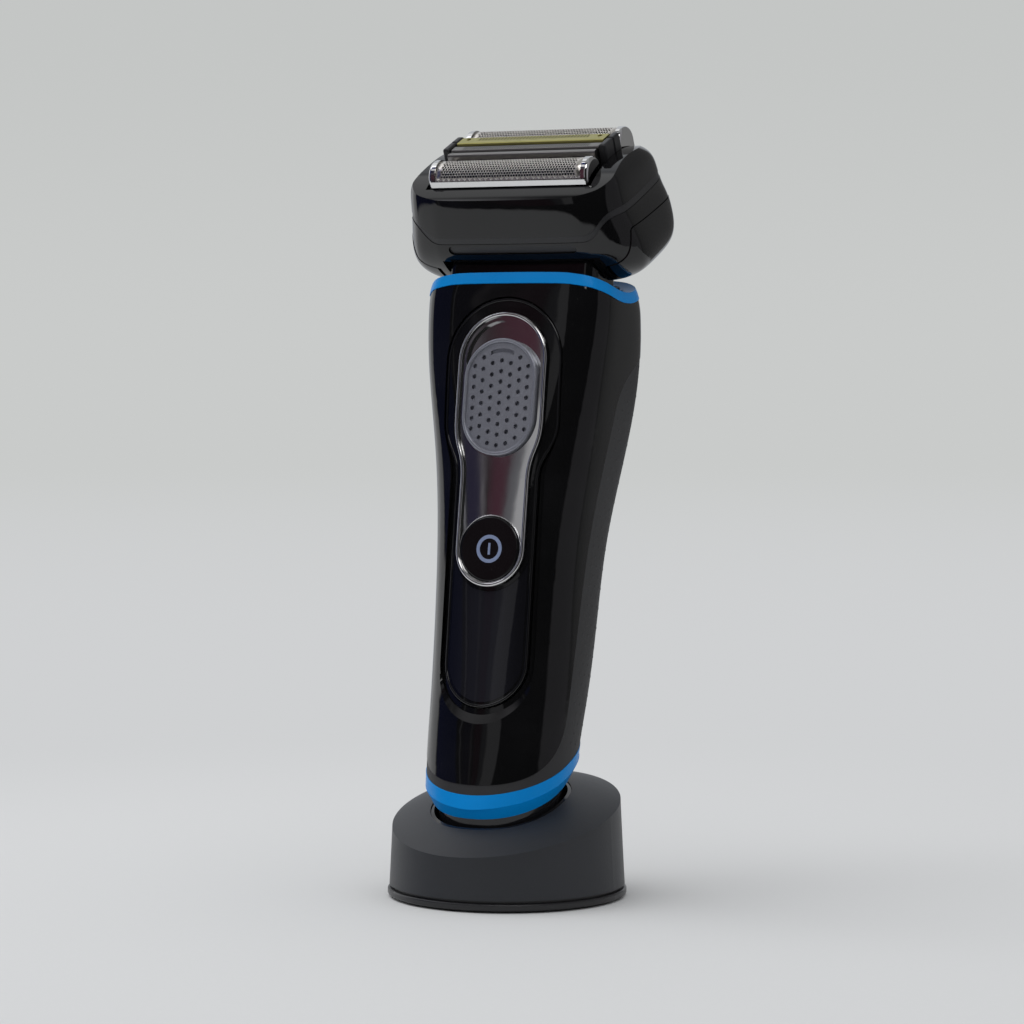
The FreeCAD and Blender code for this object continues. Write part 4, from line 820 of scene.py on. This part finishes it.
class ShaverLook(bpy.types.PropertyGroup):
    blue: FloatVectorProperty(name="Blue trim", description="Colour of the collar and the foot ring",
                              subtype="COLOR", default=(0.0, 0.225, 0.63), min=0, max=1)
    black: FloatVectorProperty(name="Black", description="Colour of the glossy housing",
                               subtype="COLOR", default=(0.0045, 0.0045, 0.005), min=0, max=1)
    gold: FloatVectorProperty(name="Gold", description="Colour of the coated trimmer",
                              subtype="COLOR", default=(0.50, 0.46, 0.16), min=0, max=1)
    stand: FloatVectorProperty(name="Stand", description="Colour of the charging stand",
                               subtype="COLOR", default=(0.020, 0.022, 0.027), min=0, max=1)
    paper: FloatVectorProperty(name="Paper", description="Colour of the studio sheet",
                               subtype="COLOR", default=(0.625, 0.635, 0.645), min=0, max=1)
    horizon: FloatVectorProperty(name="Horizon", description="Tone where the sheet meets the surround",
                                 subtype="COLOR", default=(0.585, 0.597, 0.591), min=0, max=1)
    backdrop: FloatVectorProperty(name="Backdrop", description="Tone of the surround above the horizon",
                                  subtype="COLOR", default=(0.552, 0.565, 0.558), min=0, max=1)
    foil_pitch: FloatProperty(name="Foil hole spacing", description="Distance between the foil's holes",
                              default=0.70 * MM, min=0.3 * MM, max=3 * MM, unit="LENGTH", precision=6)
    foil_web: FloatProperty(name="Foil web", description="Width of steel left round each hole",
                            default=0.11 * MM, min=0.03 * MM, max=MM, unit="LENGTH", precision=6)
    tooth_pitch: FloatProperty(name="Foil tooth spacing", description="Width of one tooth of the foil's edge",
                               default=1.38 * MM, min=0.5 * MM, max=4 * MM, unit="LENGTH", precision=6)
    dot_size: FloatProperty(name="Grip dot size", description="Diameter of the grip's dots",
                            default=0.9 * MM, min=0.2 * MM, max=3 * MM, unit="LENGTH", precision=6)
    dot_height: FloatProperty(name="Grip dot height", description="Height of a grip dot, with its sunk foot",
                              default=0.09 * MM, min=0.02 * MM, max=MM, unit="LENGTH", precision=6)
    dot_rise: FloatProperty(name="Grip dot spacing", description="Distance between dots up the handle",
                            default=4.6 * MM, min=MM, max=10 * MM, unit="LENGTH", precision=6)
    front_dark: FloatProperty(name="Front room", description="Brightness of the room in front, as mirrored",
                              default=0.016, min=0, max=1, subtype="FACTOR")
    soft_light: FloatProperty(name="Soft light", description="Strength of the soft light from all round",
                              default=0.71, min=0, max=2, subtype="FACTOR")
    table_reach: FloatProperty(name="Table reach", description="How far the sheet is mirrored in front",
                               default=0.16, min=0.05, max=1, unit="LENGTH")


def current():
    return bpy.context.scene.shaver_look


class SHAVER_OT_finishes(bpy.types.Operator):
    """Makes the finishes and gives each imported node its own"""
    bl_idname = "shaver.finishes"
    bl_label = "Finishes"

    def execute(self, context):
        make_finishes(current())
        for part in frame["record"]["subparts"]:
            mesh = frame["nodes"][part["node"]].data
            mesh.materials.clear()
            mesh.materials.append(FINISHES[SPECIAL.get(part["node"], part["material_slot"])])
            mesh.polygons.foreach_set("material_index", [0] * len(mesh.polygons))
        return {"FINISHED"}


class SHAVER_OT_foils(bpy.types.Operator):
    """Builds the perforated foils over the cutters and paints shade into the slots of the combs"""
    bl_idname = "shaver.foils"
    bl_label = "Foils"

    def execute(self, context):
        foil_piece(current(), "front", -FOIL_MIDDLE)
        foil_piece(current(), "rear", FOIL_MIDDLE)
        paint_comb_slot_shade()
        return {"FINISHED"}


class SHAVER_OT_handle(bpy.types.Operator):
    """Adds the grip's dots, the ring round the power button and the beads on the handle's front"""
    bl_idname = "shaver.handle"
    bl_label = "Handle details"

    def execute(self, context):
        grip_dots(current())
        button_ring()
        front_beads()
        return {"FINISHED"}


class SHAVER_OT_stage(bpy.types.Operator):
    """Sets up the studio sheet, lamp, surround and camera"""
    bl_idname = "shaver.stage"
    bl_label = "Stage"

    def execute(self, context):
        context.scene.view_settings.view_transform = "Standard"
        studio_floor(current())
        studio_world(current())
        lamp("key", (-0.65, -0.2, 1.3), (0, 0, 0.08), 1.1, 7.8)
        studio_camera()
        return {"FINISHED"}


class SHAVER_PT_panel(bpy.types.Panel):
    """Steps and settings of the shaver's look"""
    bl_idname = "SHAVER_PT_panel"
    bl_label = "Foil shaver"
    bl_space_type = "VIEW_3D"
    bl_region_type = "UI"
    bl_category = "Shaver"

    def draw(self, context):
        for operator in OPERATORS:
            self.layout.operator(operator.bl_idname)
        for name in ShaverLook.__annotations__:
            self.layout.prop(context.scene.shaver_look, name)


OPERATORS = (SHAVER_OT_finishes, SHAVER_OT_foils, SHAVER_OT_handle, SHAVER_OT_stage)
CLASSES = (ShaverLook,) + OPERATORS + (SHAVER_PT_panel,)


def register():
    for made in CLASSES:
        bpy.utils.register_class(made)
    bpy.types.Scene.shaver_look = PointerProperty(type=ShaverLook)


def unregister():
    del bpy.types.Scene.shaver_look
    for made in reversed(CLASSES):
        bpy.utils.unregister_class(made)


def main():
    register()
    bpy.ops.shaver.finishes()
    bpy.ops.shaver.foils()
    bpy.ops.shaver.handle()
    bpy.ops.shaver.stage()


if __name__ == "__main__":
    main()
